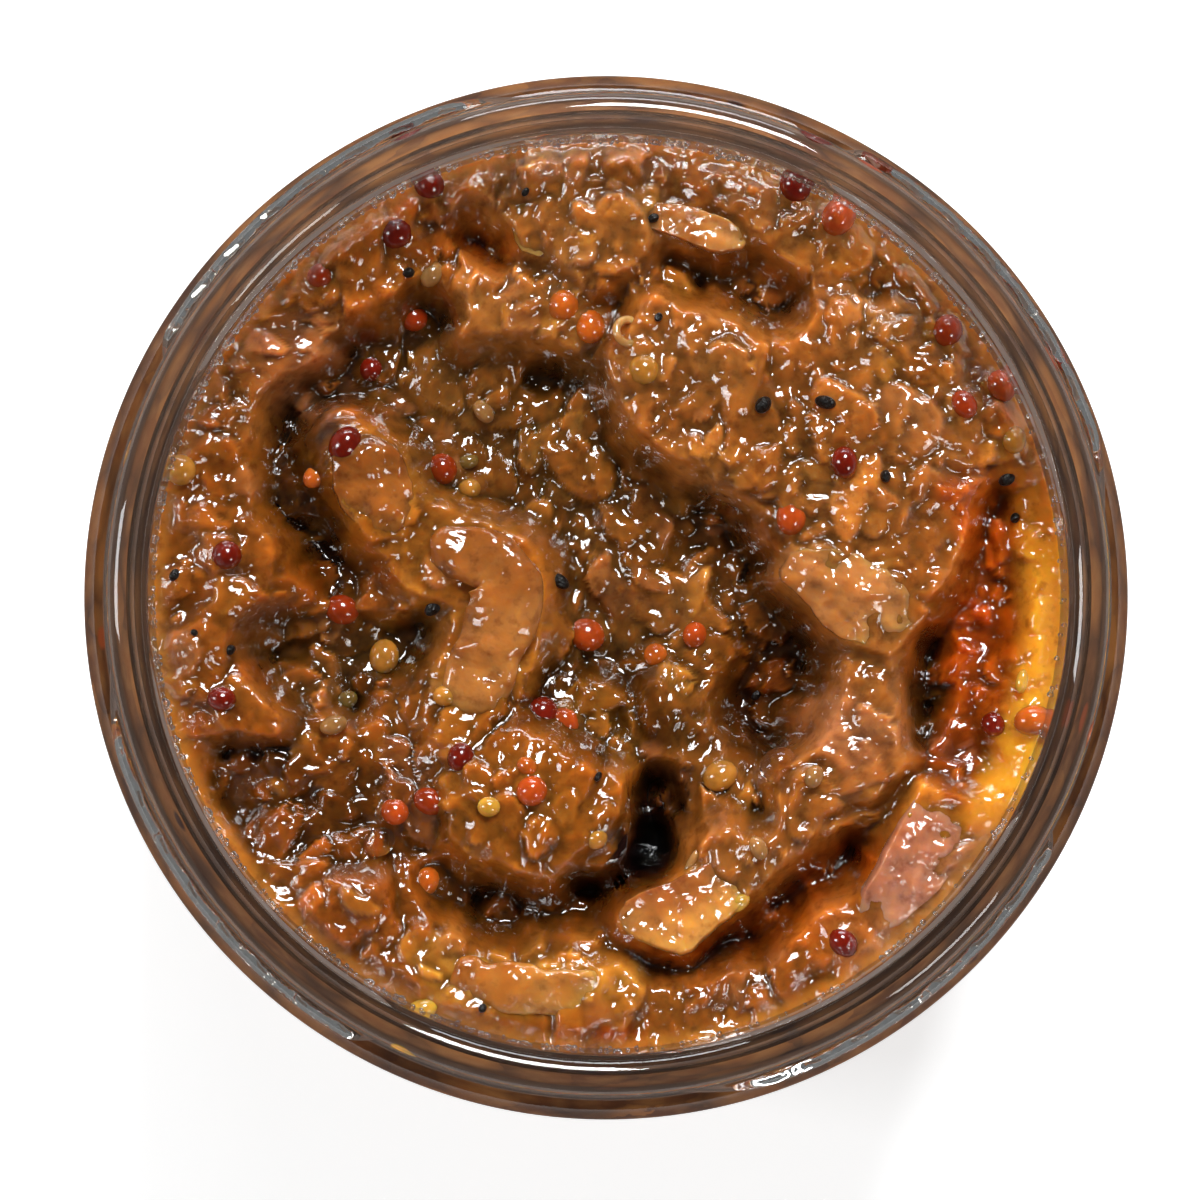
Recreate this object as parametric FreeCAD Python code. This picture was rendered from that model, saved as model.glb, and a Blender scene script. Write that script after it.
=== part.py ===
"""Open twist-off jar of onion confit: glass jar, the confit and the larger onion pieces on it.

Millimetres. The origin is the centre of the base, +Z runs up the jar's axis.
"""
import FreeCAD, Part
import math
import os
from FreeCAD import Vector

# ---- jar: overall sizes -------------------------------------------------
jar_height = 78.0        # base to the crown of the lip
body_radius = 34.0       # straight wall, outside
finish_radius = 31.4     # outside of the threaded finish, between the lugs
lip_thickness = 2.7      # glass at the mouth, which the rounded lip spans
wall_thickness = 2.5     # glass in the straight wall
base_thickness = 3.4     # glass at the middle of the base

# ---- jar: finish (mouth down to the shoulder) ---------------------------
finish_height = 12.6     # crown of the lip down to the foot of the finish
shoulder_height = 4.6    # foot of the finish down to the full body radius
bead_height = 2.6        # transfer bead that closes the finish
bead_projection = 1.1    # how far the bead stands out of the finish
neck_groove = 0.5        # how far the foot of the finish draws in under the bead

lug_count = 4
lug_arc = 60.0           # degrees that one lug covers
lug_first = 4.0          # bearing where the first lug starts
lug_drop = 3.3           # crown of the lip down to the lead-in end of a lug
lug_fall = 1.9           # how far a lug runs downhill over its arc
lug_projection = 1.15    # how far a lug stands out of the finish
lug_depth = 2.0          # height of a lug's section
lug_root = 0.6           # how deep a lug's section is let into the wall

# ---- jar: base ----------------------------------------------------------
heel_radius = 5.0        # rounding between the wall and the foot
foot_width = 3.2         # flat ring that the jar stands on
push_up = 2.2            # rise of the middle of the base over the foot
inner_heel_radius = 6.0  # rounding inside, between the wall and the bottom

# ---- confit -------------------------------------------------------------
headspace = 7.0          # crown of the lip down to the confit at the glass
fill_clearance = 0.05    # confit to glass
relief_steps = 60        # intervals of the relief's net across the mouth
relief_patch_rows = 10   # rows of patches that the relief's surface is laid in

bore_radius = finish_radius - lip_thickness
inner_radius = body_radius - wall_thickness
fill_level = jar_height - headspace


# ---- helpers ------------------------------------------------------------
def line(a, b):
    return Part.LineSegment(a, b).toShape()


def arc(a, via, b):
    return Part.Arc(a, via, b).toShape()


def at(r, z):
    """A point of a profile that is turned about the jar's axis."""
    return Vector(r, 0, z)


def quarter(centre, radius, start, end):
    """Points at the start, the middle and the end of an arc about a centre, angles in degrees."""
    return [
        centre + Vector(math.cos(math.radians(d)), 0, math.sin(math.radians(d))) * radius
        for d in (start, (start + end) / 2, end)
    ]


def dome(edge, top):
    """Arc of a spherical cap, from its top on the jar's axis out to its edge."""
    rise = top.z - edge.z
    radius = (edge.x**2 + rise**2) / (2 * rise)
    half = math.asin(edge.x / radius) / 2
    via = at(radius * math.sin(half), top.z - radius * (1 - math.cos(half)))
    return arc(top, via, edge)


def turned(edges):
    """The solid of revolution of a closed profile."""
    return Part.Face(Part.Wire(edges)).revolve(Vector(0, 0, 0), Vector(0, 0, 1), 360)


def s_curve(lower, upper):
    """Tangent arcs that lead from one upright wall to another, as a jar's shoulder does.

    A shoulder wider than it is high gets two quarter arcs with a level stretch between them.
    """
    rise, run = upper.z - lower.z, upper.x - lower.x
    side = math.copysign(1, run)
    wide = abs(run) > rise
    radius = rise / 2 if wide else (rise * rise + run * run) / (4 * abs(run))
    sweep = 90.0 if wide else math.degrees(math.asin(rise / 2 / radius))
    start = 180 if side > 0 else 0
    one = quarter(lower + Vector(side * radius, 0, 0), radius, start, start - side * sweep)
    two = quarter(upper - Vector(side * radius, 0, 0), radius, start + 180, start + 180 - side * sweep)
    if not wide:
        middle = (lower + upper) / 2
        return [arc(lower, one[1], middle), arc(middle, two[1], upper)]
    return [arc(lower, one[1], one[2]), line(one[2], two[2]), arc(two[2], two[1], upper)]


def inner_shoulder():
    """Foot and head of the shoulder inside, so far below the outside one that the glass keeps its wall."""
    run = body_radius - finish_radius + neck_groove
    slant = 2 * shoulder_height * run / (shoulder_height**2 + run**2) if run < shoulder_height else 1.0
    head = jar_height - finish_height - wall_thickness * slant
    return head - shoulder_height, head


# ---- jar ----------------------------------------------------------------
def cavity_edges(clearance, top):
    """The inside of the jar from the axis at the bottom to the axis at a height, less a clearance."""
    floor = base_thickness + push_up + clearance
    corner = push_up * 0.35
    r_low, r_high = inner_radius - clearance, bore_radius - clearance
    heel = Vector(r_low - inner_heel_radius, 0, floor - corner + inner_heel_radius)
    bottom, knee, side = quarter(heel, inner_heel_radius, 270, 360)
    foot, head = inner_shoulder()
    neck_low, neck_high = at(r_low, foot), at(r_high, head)
    middle = at(0, floor)
    return (
        [dome(bottom, middle), arc(bottom, knee, side), line(side, neck_low)]
        + s_curve(neck_low, neck_high)
        + [line(neck_high, at(r_high, top)), line(at(r_high, top), at(0, top)), line(at(0, top), middle)]
    )


def blank():
    """The outside of the jar as one turned solid, with the mouth still closed."""
    foot_outer = body_radius - heel_radius
    foot_inner = foot_outer - foot_width
    heel = quarter(at(foot_outer, heel_radius), heel_radius, 270, 360)
    shoulder_low = at(body_radius, jar_height - finish_height - shoulder_height)
    neck = at(finish_radius - neck_groove, jar_height - finish_height)
    bead_low = at(finish_radius - neck_groove, neck.z + 0.5)
    bead_high = at(finish_radius, bead_low.z + bead_height)
    bead_nose = at(finish_radius + bead_projection, (bead_low.z + bead_high.z) / 2)
    lip = at(finish_radius - lip_thickness / 2, jar_height - lip_thickness / 2)
    outer, outer_via, crown = quarter(lip, lip_thickness / 2, 0, 90)
    edges = [
        line(at(0, push_up), at(0, crown.z)),
        line(at(0, crown.z), crown),
        arc(crown, outer_via, outer),
        line(outer, bead_high),
        arc(bead_high, bead_nose, bead_low),
        line(bead_low, neck),
    ]
    edges += s_curve(shoulder_low, neck)
    edges += [
        line(shoulder_low, heel[2]),
        arc(heel[2], heel[1], heel[0]),
        line(heel[0], at(foot_inner, 0)),
        dome(at(foot_inner, 0), at(0, push_up)),
    ]
    return turned(Part.__sortEdges__(edges))


def mouth():
    """What is taken out of the blank: the cavity, with the inner half of the rounded lip."""
    lip = at(finish_radius - lip_thickness / 2, jar_height - lip_thickness / 2)
    inner, via, crown = quarter(lip, lip_thickness / 2, 180, 90)
    edges = cavity_edges(0.0, inner.z)[:-2]
    above = jar_height + 1
    edges += [
        arc(inner, via, crown),
        line(crown, at(crown.x, above)),
        line(at(crown.x, above), at(0, above)),
        line(at(0, above), at(0, base_thickness + push_up)),
    ]
    return turned(Part.__sortEdges__(edges))


def lug_section(bearing, height, projection, depth):
    """A lug's section at a bearing: a steep underside for the cap's lugs, a rounded nose, a long top."""
    root = finish_radius - lug_root
    nose = finish_radius + projection
    low, high = height - depth / 2, height + depth / 2
    corners = [
        at(root, low),
        at(finish_radius + projection * 0.45, low + depth * 0.06),
        at(nose, height - depth * 0.1),
        at(finish_radius + projection * 0.35, high - depth * 0.12),
        at(root, high),
    ]
    wire = Part.Wire([line(corners[0], corners[1]), arc(*corners[1:4]), line(corners[3], corners[4]),
                      line(corners[4], corners[0])])
    wire.rotate(Vector(0, 0, 0), Vector(0, 0, 1), bearing)
    return wire


def lug(start):
    """One lug, lofted through sections that run downhill and swell from a thin lead-in to a blunt stop."""
    stations = [(0.0, 0.12), (0.06, 0.45), (0.14, 0.8), (0.26, 1.0), (0.45, 1.0), (0.64, 1.0),
                (0.83, 1.0), (0.93, 0.85), (0.98, 0.5), (1.0, 0.15)]
    sections = [
        lug_section(
            start + lug_arc * share,
            jar_height - lug_drop - lug_depth / 2 - lug_fall * share,
            lug_projection * swell,
            lug_depth * (0.55 + 0.45 * swell),
        )
        for share, swell in stations
    ]
    return Part.makeLoft(sections, True, False)


def jar():
    shape = blank().cut(mouth())
    pitch = 360.0 / lug_count
    lugs = [lug(lug_first + pitch * k) for k in range(lug_count)]
    return shape.multiFuse(lugs).removeSplitter()


# ---- confit -------------------------------------------------------------
# The relief is laid down form by form, as (line, radius, edge, level, crown). A form is either as
# far as its radius from an open line, or has no radius and fills a closed one. Its level counts in
# mm from the confit's level at the glass, its crown is how far its middle rises over that, and its
# flank is as wide as its edge. Places across the mouth are shares of the bore radius, x then y.
BASINS = [
    # open middle, wet with syrup
    ([(-0.31, 0.35), (-0.10, 0.31), (0.07, 0.14), (0.00, -0.10), (-0.10, -0.17)], 6.8, 4.0, -4.8, 0.0),
    # pocket under the right plateau
    ([(0.32, 0.17), (0.37, 0.00), (0.37, -0.17), (0.33, -0.30)], 2.7, 2.6, -6.4, 0.0),
    # bead-filled pit at the left
    ([(-0.70, -0.11), (-0.56, -0.17), (-0.40, -0.14)], 2.9, 2.4, -5.0, 0.0),
    # smooth slope at the right wall
    ([(0.79, 0.14), (0.82, -0.10), (0.79, -0.31)], 2.6, 3.6, -3.6, 0.0),
]
LUMPS = [
    # plates at the top of the mouth
    ([(-0.28, 0.94), (-0.33, 0.85), (-0.22, 0.69), (0.07, 0.74), (0.23, 0.70), (0.38, 0.62),
     (0.57, 0.75), (0.45, 0.87)], None, 2.4, 0.7, 0.3),
    # ledge above the middle
    ([(-0.31, 0.63), (-0.20, 0.67), (-0.09, 0.61)], 2.4, 2.2, -1.0, 0.4),
    # right plateau, with the tongue that overhangs
    ([(0.01, 0.54), (0.05, 0.31), (0.26, 0.21), (0.36, 0.14), (0.38, 0.01), (0.56, -0.11),
     (0.66, -0.13), (0.79, 0.02), (0.85, 0.24), (0.86, 0.42), (0.70, 0.64), (0.42, 0.68),
     (0.07, 0.65)], None, 2.2, 1.1, 0.3),
    # low lump
    ([(-0.40, -0.42), (-0.22, -0.30), (0.06, -0.40), (0.09, -0.50), (0.03, -0.60), (-0.12, -0.66),
     (-0.36, -0.58)], None, 2.2, 0.1, 0.7),
    # brown shelf at the left
    ([(-0.78, -0.44), (-0.63, -0.49), (-0.47, -0.47)], 2.8, 2.4, -2.3, 0.4),
    # arm that turns in
    ([(0.59, -0.17), (0.60, -0.28), (0.52, -0.38), (0.41, -0.46), (0.32, -0.56)], 3.1, 2.2, 0.6, 0.5),
    # bed of the hook
    ([(-0.40, 0.10), (-0.30, 0.06), (-0.21, 0.03), (-0.21, -0.05), (-0.25, -0.14),
     (-0.31, -0.28)], 2.3, 2.0, -1.8, 0.4),
    # bed of the amber chunk
    ([(-0.54, 0.30), (-0.49, 0.19)], 3.2, 2.0, -1.2, 0.6),
    # chain of small lumps
    ([(0.10, -0.24), (0.17, -0.35), (0.26, -0.41), (0.31, -0.45)], 1.8, 2.0, -2.4, 0.6),
    # chunk at the left wall
    ([(-0.81, -0.26), (-0.75, -0.28)], 2.0, 1.8, 0.7, 0.5),
]
HOLES = [
    # left trough
    ([(-0.40, 0.62), (-0.54, 0.51), (-0.70, 0.40), (-0.71, 0.24), (-0.65, 0.12),
     (-0.60, 0.03)], 1.8, 2.0, -5.2, 0.0),
    # deep hole beside the low lump
    ([(0.13, -0.44), (0.13, -0.51), (0.05, -0.61), (-0.02, -0.66)], 1.7, 2.0, -8.2, 0.0),
    # slit between the arm and the wall
    ([(0.72, -0.03), (0.73, -0.17), (0.71, -0.35)], 1.0, 1.8, -6.0, 0.0),
    # trough above the bottom bank
    ([(0.09, -0.80), (0.31, -0.75), (0.42, -0.65), (0.56, -0.59)], 1.1, 1.9, -4.0, 0.0),
    # undercut of the low lump
    ([(-0.38, -0.64), (-0.28, -0.70), (-0.14, -0.71), (0.00, -0.68)], 1.3, 1.9, -5.6, 0.0),
    # notch at the left bank
    ([(-0.84, -0.34), (-0.71, -0.38)], 0.9, 1.8, -3.6, 0.0),
    # recess in the top plates
    ([(0.24, 0.77), (0.29, 0.71), (0.37, 0.65)], 1.6, 1.9, -4.8, 0.0),
    # small recess at the top left
    ([(-0.30, 0.82), (-0.24, 0.76)], 1.1, 1.8, -3.6, 0.0),
    # cave under the ledge
    ([(-0.16, 0.48), (-0.03, 0.51)], 1.2, 1.8, -6.6, 0.0),
]


def smooth(share):
    share = min(max(share, 0.0), 1.0)
    return share * share * (3 - 2 * share)


def off_line(x, y, line, closed):
    """How far a place lies from a form's line; inside a closed line it counts below nought."""
    points = [(u * bore_radius, v * bore_radius) for u, v in line]
    nearest, inside = math.inf, False
    for (ax, ay), (bx, by) in zip(points, points[1:] + points[:1] * closed):
        dx, dy = bx - ax, by - ay
        along = ((x - ax) * dx + (y - ay) * dy) / (dx * dx + dy * dy)
        along = min(max(along, 0.0), 1.0)
        nearest = min(nearest, math.hypot(x - ax - along * dx, y - ay - along * dy))
        if closed and (ay > y) != (by > y) and x < dx * (y - ay) / dy + ax:
            inside = not inside
    return -nearest if inside else nearest


def stirred(x, y, reach):
    """Moves a place across the mouth by up to a reach, as spooning moves food."""
    return (
        x + reach * (0.65 * math.sin(0.47 * y + 0.21 * x + 1.3) + 0.35 * math.sin(1.21 * y - 0.64 * x)),
        y + reach * (0.65 * math.sin(0.52 * x - 0.18 * y + 4.1) + 0.35 * math.sin(1.13 * x + 0.71 * y + 2.0)),
    )


def relief(x, y):
    """Height of the confit over the level at the glass: a bank round the mouth, basins, lumps, holes."""
    share = math.hypot(x, y) / bore_radius
    bearing = math.atan2(y, x)
    level = 0.35 * math.sin(3 * bearing + 0.6) + 0.25 * math.sin(7 * bearing - 1.1)
    level -= 2.8 * smooth((0.97 - share) / 0.42)
    sx, sy = stirred(x, y, 0.6)
    for line, radius, edge, target, crown in BASINS + LUMPS + HOLES:
        away = off_line(sx, sy, line, radius is None) - (radius or 0.0)
        cover = 1 - smooth((away + edge / 2) / edge)
        swell = crown * (1 - smooth((away + 3.0) / 3.0))
        level += (target + swell - level) * cover
    kx, ky = stirred(x, y, 2.4)
    knobs = math.sin(0.83 * kx + 0.36 * ky) * math.sin(0.71 * ky - 0.42 * kx + 0.8)
    knobs += 0.6 * math.sin(1.27 * kx - 1.03 * ky + 2.2) * math.sin(1.13 * ky + 0.77 * kx)
    knobs += 0.4 * math.sin(1.95 * kx + 0.5 * ky + 0.5) * math.sin(1.72 * ky - 0.9 * kx + 2.6)
    level += 0.28 * knobs
    at_glass = smooth((1.01 - share) / 0.07)
    return level * at_glass + 0.15 * math.sin(9 * bearing + 2.0) * (1 - at_glass)


def relief_patches():
    """The top of the confit: a smooth surface through a square net of heights, in square patches."""
    half = bore_radius + 1.0
    step = 2 * half / relief_steps
    places = [-half + step * k for k in range(relief_steps + 1)]
    surface = Part.BSplineSurface()
    surface.interpolate([[Vector(x, y, fill_level + relief(x, y)) for y in places] for x in places])
    u_low, u_high, v_low, v_high = surface.bounds()
    patches = []
    for i in range(relief_patch_rows):
        for j in range(relief_patch_rows):
            patch = surface.copy()
            patch.segment(
                u_low + (u_high - u_low) * i / relief_patch_rows,
                u_low + (u_high - u_low) * (i + 1) / relief_patch_rows,
                v_low + (v_high - v_low) * j / relief_patch_rows,
                v_low + (v_high - v_low) * (j + 1) / relief_patch_rows,
            )
            patches.append(patch.toShape())
    return patches


def confit_body():
    """The turned fill, parted by the relief: what lies under it is the confit."""
    body = turned(Part.__sortEdges__(cavity_edges(fill_clearance, jar_height)))
    parted, _ = body.generalFuse([Part.Shell(relief_patches())])
    return min(parted.Solids, key=lambda solid: solid.CenterOfMass.z)


# ---- onion pieces -------------------------------------------------------
def place(u, v, level):
    """A point over the mouth: shares of the bore radius across it, mm over the confit at the glass."""
    return Vector(u * bore_radius, v * bore_radius, fill_level + level)


def layer_piece(outline, level, bend, thickness, tilt=0.0, bearing=0.0):
    """A piece cut out of an onion layer: a closed outline cut down through a thin ball-shaped shell.

    The layer's crown lies at a level over the middle of the outline and bends at a radius; the
    piece is then tipped by a tilt about a level line at a bearing, both in degrees.
    """
    points = [place(u, v, level) for u, v in outline]
    middle = sum(points, Vector()) * (1 / len(points))
    rim = Part.BSplineCurve()
    rim.interpolate(Points=points, PeriodicFlag=True)
    reach = bend * 0.6
    cutter = Part.Face(Part.Wire(rim.toShape()))
    cutter.translate(Vector(0, 0, -reach))
    cutter = cutter.extrude(Vector(0, 0, 2 * reach))
    hub = middle - Vector(0, 0, bend)
    layer = Part.makeSphere(bend).cut(Part.makeSphere(bend - thickness))
    layer.rotate(Vector(0, 0, 0), Vector(0, 1, 0), 90)
    layer.translate(hub)
    piece = cutter.common(layer)
    axis = Vector(math.cos(math.radians(bearing)), math.sin(math.radians(bearing)), 0)
    piece.rotate(middle, axis, tilt)
    return piece


def band(centre, across, up, width, thickness, cup):
    """A section of an onion layer: a band with rounded edges, cupped across its width."""
    half = width / 2
    stations = [-1.0, -0.62, 0.0, 0.62, 1.0]
    top = [centre + across * (half * s * 0.96) + up * (thickness / 2 - cup * s * s) for s in stations]
    low = [centre + across * (half * s * 0.96) - up * (thickness / 2 + cup * s * s) for s in stations]
    right = centre + across * half - up * cup
    left = centre - across * half - up * cup
    curve = Part.BSplineCurve()
    curve.interpolate(Points=top + [right] + low[::-1] + [left], PeriodicFlag=True)
    return Part.Wire(curve.toShape())


def strip_piece(spine, levels, widths, thickness, cup, lean):
    """A strip of onion layer lofted along a bent spine, with cut ends; lean tips it sideways, degrees."""
    guide = Part.BSplineCurve()
    guide.interpolate([place(u, v, level) for (u, v), level in zip(spine, levels)])
    first, last = guide.FirstParameter, guide.LastParameter
    sections = []
    for k in range(7):
        share = k / 6
        parameter = first + (last - first) * share
        along = Vector(*guide.tangent(parameter)[0])
        across = Vector(0, 0, 1).cross(along).normalize()
        up = along.cross(across).normalize()
        turn = FreeCAD.Rotation(along, lean)
        start, middle, end = widths
        width = start * (1 - share) ** 2 + 2 * middle * share * (1 - share) + end * share**2
        blunt = 0.72 + 0.28 * math.sin(math.pi * share)
        sections.append(
            band(guide.value(parameter), turn.multVec(across), turn.multVec(up), width,
                 thickness * blunt, cup)
        )
    return Part.makeLoft(sections, True, False)


LAYER_PIECES = {
    "onion_strip_gold": dict(
        outline=[(0.01, -0.70), (0.10, -0.64), (0.25, -0.57), (0.34, -0.59), (0.31, -0.67),
                 (0.23, -0.73), (0.17, -0.80), (0.07, -0.76)],
        level=1.0, bend=16.0, thickness=1.7, tilt=-9.0, bearing=20.0),
    "onion_petal_wall": dict(
        outline=[(0.70, -0.42), (0.83, -0.46), (0.80, -0.57), (0.72, -0.67), (0.62, -0.75),
                 (0.55, -0.76), (0.56, -0.66), (0.63, -0.53)],
        level=1.0, bend=15.0, thickness=1.5, tilt=11.0, bearing=58.0),
    "onion_chunk_amber": dict(
        outline=[(-0.61, 0.33), (-0.54, 0.37), (-0.46, 0.33), (-0.42, 0.22), (-0.45, 0.13),
                 (-0.53, 0.12), (-0.60, 0.21)],
        level=0.7, bend=7.5, thickness=2.4, tilt=6.0, bearing=65.0),
    "onion_chunk_right": dict(
        outline=[(0.37, 0.04), (0.43, -0.02), (0.49, -0.09), (0.62, -0.13), (0.71, -0.05), (0.64, 0.04),
                 (0.52, 0.10), (0.41, 0.10)],
        level=2.0, bend=13.0, thickness=1.9, tilt=6.0, bearing=-10.0),
    "onion_wedge_olive": dict(
        outline=[(-0.22, 0.86), (-0.16, 0.87), (-0.12, 0.80), (-0.14, 0.74), (-0.20, 0.76)],
        level=0.7, bend=9.0, thickness=1.7, tilt=5.0, bearing=0.0),
    "onion_plate_top": dict(
        outline=[(0.06, 0.82), (0.14, 0.79), (0.24, 0.75), (0.31, 0.77), (0.29, 0.82), (0.18, 0.86),
                 (0.08, 0.87)],
        level=1.6, bend=12.0, thickness=1.3, tilt=-6.0, bearing=0.0),
}
STRIP_PIECES = {
    "onion_strip_hook": dict(
        spine=[(-0.39, 0.10), (-0.23, 0.04), (-0.25, -0.10), (-0.31, -0.27)],
        levels=(-0.8, -0.5, -0.6, -1.0),
        widths=(3.2, 5.6, 4.0), thickness=1.7, cup=0.5, lean=0),
    "onion_strip_folded": dict(
        spine=[(-0.34, -0.83), (-0.18, -0.87), (-0.01, -0.87)], levels=(0.2, 0.6, 0.3),
        widths=(1.8, 3.6, 1.8), thickness=1.5, cup=0.4, lean=10),
}


def main():
    nodes = {"jar": jar()}
    inside = Part.makeCylinder(bore_radius - fill_clearance, jar_height)
    pieces = {name: layer_piece(**form) for name, form in LAYER_PIECES.items()}
    pieces.update({name: strip_piece(**form) for name, form in STRIP_PIECES.items()})
    pieces = {name: piece.common(inside) for name, piece in pieces.items()}
    fill = confit_body()
    for piece in pieces.values():
        fill = fill.cut(piece)
    nodes["confit"] = max(fill.Solids, key=lambda solid: solid.Volume)
    nodes.update(pieces)
    os.makedirs("parts", exist_ok=True)
    for name, shape in nodes.items():
        shape.exportStep(os.path.join("parts", name + ".step"))
        box = shape.optimalBoundingBox()
        print(f"{name}: {len(shape.Solids)} solid, {shape.Volume:.0f} mm3, valid {shape.isValid()}, "
              f"x {box.XMin:.2f}..{box.XMax:.2f} y {box.YMin:.2f}..{box.YMax:.2f} "
              f"z {box.ZMin:.2f}..{box.ZMax:.2f}")


main()
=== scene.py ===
# %% [markdown]
# # An open jar of onion confit
# The jar's frame comes first: the solids that the look is fitted to, in metres, with +Z up the
# jar's axis. Sizes below are in millimetres and are turned into metres where a mesh is made.

# %% Load the frame
import math

import bpy
import numpy as np
from mathutils import Matrix, Vector


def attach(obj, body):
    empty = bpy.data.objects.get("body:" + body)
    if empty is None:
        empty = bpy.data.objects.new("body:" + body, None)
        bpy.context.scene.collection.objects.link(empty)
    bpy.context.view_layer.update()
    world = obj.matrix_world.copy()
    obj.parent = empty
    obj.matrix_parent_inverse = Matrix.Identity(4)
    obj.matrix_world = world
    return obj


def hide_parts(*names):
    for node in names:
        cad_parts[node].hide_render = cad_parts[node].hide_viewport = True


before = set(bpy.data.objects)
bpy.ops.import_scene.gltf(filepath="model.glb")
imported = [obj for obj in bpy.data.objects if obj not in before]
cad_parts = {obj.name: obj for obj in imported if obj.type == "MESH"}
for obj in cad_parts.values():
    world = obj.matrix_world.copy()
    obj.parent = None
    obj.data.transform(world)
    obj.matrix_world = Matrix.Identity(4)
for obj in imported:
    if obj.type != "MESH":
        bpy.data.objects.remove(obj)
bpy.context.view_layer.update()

MM = 0.001

# %% [markdown]
# ## Shader arithmetic
# A material is written as a graph. `Val` wraps one output socket, so a sum or a product of two
# of them reads as plain Python and becomes a Math node.

# %% Graph and Val
def srgb(*screen):
    """A colour given as on a screen, 0 to 255, as linear light."""
    share = np.array(screen) / 255
    return np.where(share <= 0.04045, share / 12.92, ((share + 0.055) / 1.055) ** 2.4)


class Val:
    """An output socket that takes part in arithmetic."""

    def __init__(self, graph, socket):
        self.graph, self.socket = graph, socket

    def math(self, operation, a, b):
        return self.graph.node("Math", {"operation": operation}, {0: a, 1: b})

    def __add__(self, other):
        return self.math("ADD", self, other)

    def __radd__(self, other):
        return self.math("ADD", other, self)

    def __sub__(self, other):
        return self.math("SUBTRACT", self, other)

    def __rsub__(self, other):
        return self.math("SUBTRACT", other, self)

    def __mul__(self, other):
        return self.math("MULTIPLY", self, other)

    def __rmul__(self, other):
        return self.math("MULTIPLY", other, self)

    def clamp(self, low, high):
        """Runs evenly from 0 at low to 1 at high, and no further. Low may be the larger."""
        inputs = {"Value": self, "From Min": low, "From Max": high}
        return self.graph.node("MapRange", {"clamp": True}, inputs)


class Graph:
    """The nodes of one new material, or of the world."""

    def __init__(self, name, owner=None):
        self.owner = owner or bpy.data.materials.new(name)
        self.owner.use_nodes = True
        self.tree = self.owner.node_tree
        self.tree.nodes.clear()

    def node(self, kind, settings=None, inputs=None, out=0):
        """A node of one kind. Settings come first, then each socket's value or link."""
        made = self.tree.nodes.new("ShaderNode" + kind)
        for key, value in (settings or {}).items():
            setattr(made, key, value)
        for key, value in (inputs or {}).items():
            if isinstance(value, Val):
                self.tree.links.new(value.socket, made.inputs[key])
            elif made.inputs[key].type == "RGBA":
                made.inputs[key].default_value = (*value[:3], 1.0)
            else:
                made.inputs[key].default_value = value
        return Val(self, made.outputs[out]) if made.outputs else None

    def mix(self, factor, a, b, blend="MIX"):
        """Two colours mixed."""
        settings = {"data_type": "RGBA", "blend_type": blend}
        return self.node("Mix", settings, {0: factor, 6: a, 7: b}, out=2)

    def place(self):
        """Object coordinates, in metres."""
        return self.node("TexCoord", out=3)

    def noise(self, scale, detail=2.0, roughness=0.5, out=0):
        inputs = {"Vector": self.place(), "Scale": scale, "Detail": detail, "Roughness": roughness}
        return self.node("TexNoise", {}, inputs, out)

    def warped(self, reach):
        """Object coordinates moved about by noise, by up to about half of reach metres."""
        inputs = {0: self.noise(500.0, out=1), 1: (reach, reach, reach), 2: self.place()}
        return self.node("VectorMath", {"operation": "MULTIPLY_ADD"}, inputs)

    def bump(self, height, distance, strength=1.0, under=None):
        inputs = {"Height": height, "Distance": distance, "Strength": strength}
        if under is not None:
            inputs["Normal"] = under
        return self.node("Bump", {}, inputs)

    def principled(self, **inputs):
        """Ends a material. Sockets are named with _ for a space. Three numbers are a colour."""
        surface = self.node("BsdfPrincipled", {}, {key.replace("_", " "): v for key, v in inputs.items()})
        self.node("OutputMaterial", {}, {"Surface": surface})
        return self.owner


print("shader helpers ready")

# %% [markdown]
# ## Mesh helpers
# Every piece is an object at the origin with its own mesh. A turned form can be spun by operators,
# as the jar is. Food has no such outline, so its pieces are worked out point by point.

# %% New objects
def new_object(name, points, faces, material, edges=()):
    """A smooth piece from points in metres and faces, or from edges alone."""
    mesh = bpy.data.meshes.new(name)
    mesh.from_pydata([tuple(p) for p in points], edges, [tuple(f) for f in faces])
    mesh.update()
    piece = bpy.data.objects.new(name, mesh)
    bpy.context.scene.collection.objects.link(piece)
    mesh.materials.append(material)
    mesh.shade_smooth()
    return piece


def capped_faces(rings, around):
    """Faces of a closed form whose points are a top pole, rings below it and a bottom pole."""
    sides = [(j, (j + 1) % around) for j in range(around)]
    faces = [(0, 1 + j, 1 + after) for j, after in sides]
    for low in range(1, (rings - 1) * around, around):
        high = low + around
        faces += [(low + j, high + j, high + after, low + after) for j, after in sides]
    low, last = 1 + (rings - 1) * around, 1 + rings * around
    return faces + [(low + j, last, low + after) for j, after in sides]


def paint(piece, colours):
    """Stores a food colour for each point, kept within what food reflects."""
    shade = piece.data.attributes.new("food_colour", "FLOAT_COLOR", "POINT")
    values = np.ones((len(piece.data.vertices), 4))
    values[:, :3] = np.clip(colours, 0.002, 0.9)
    shade.data.foreach_set("color", values.ravel())


print("mesh helpers ready")

# %% [markdown]
# ## The jar
# Its outline is spun about the axis: the foot, the wall, the shoulder, the finish with its bead and
# the rounded lip, then down the inside. The glass is clear soda-lime.

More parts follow.
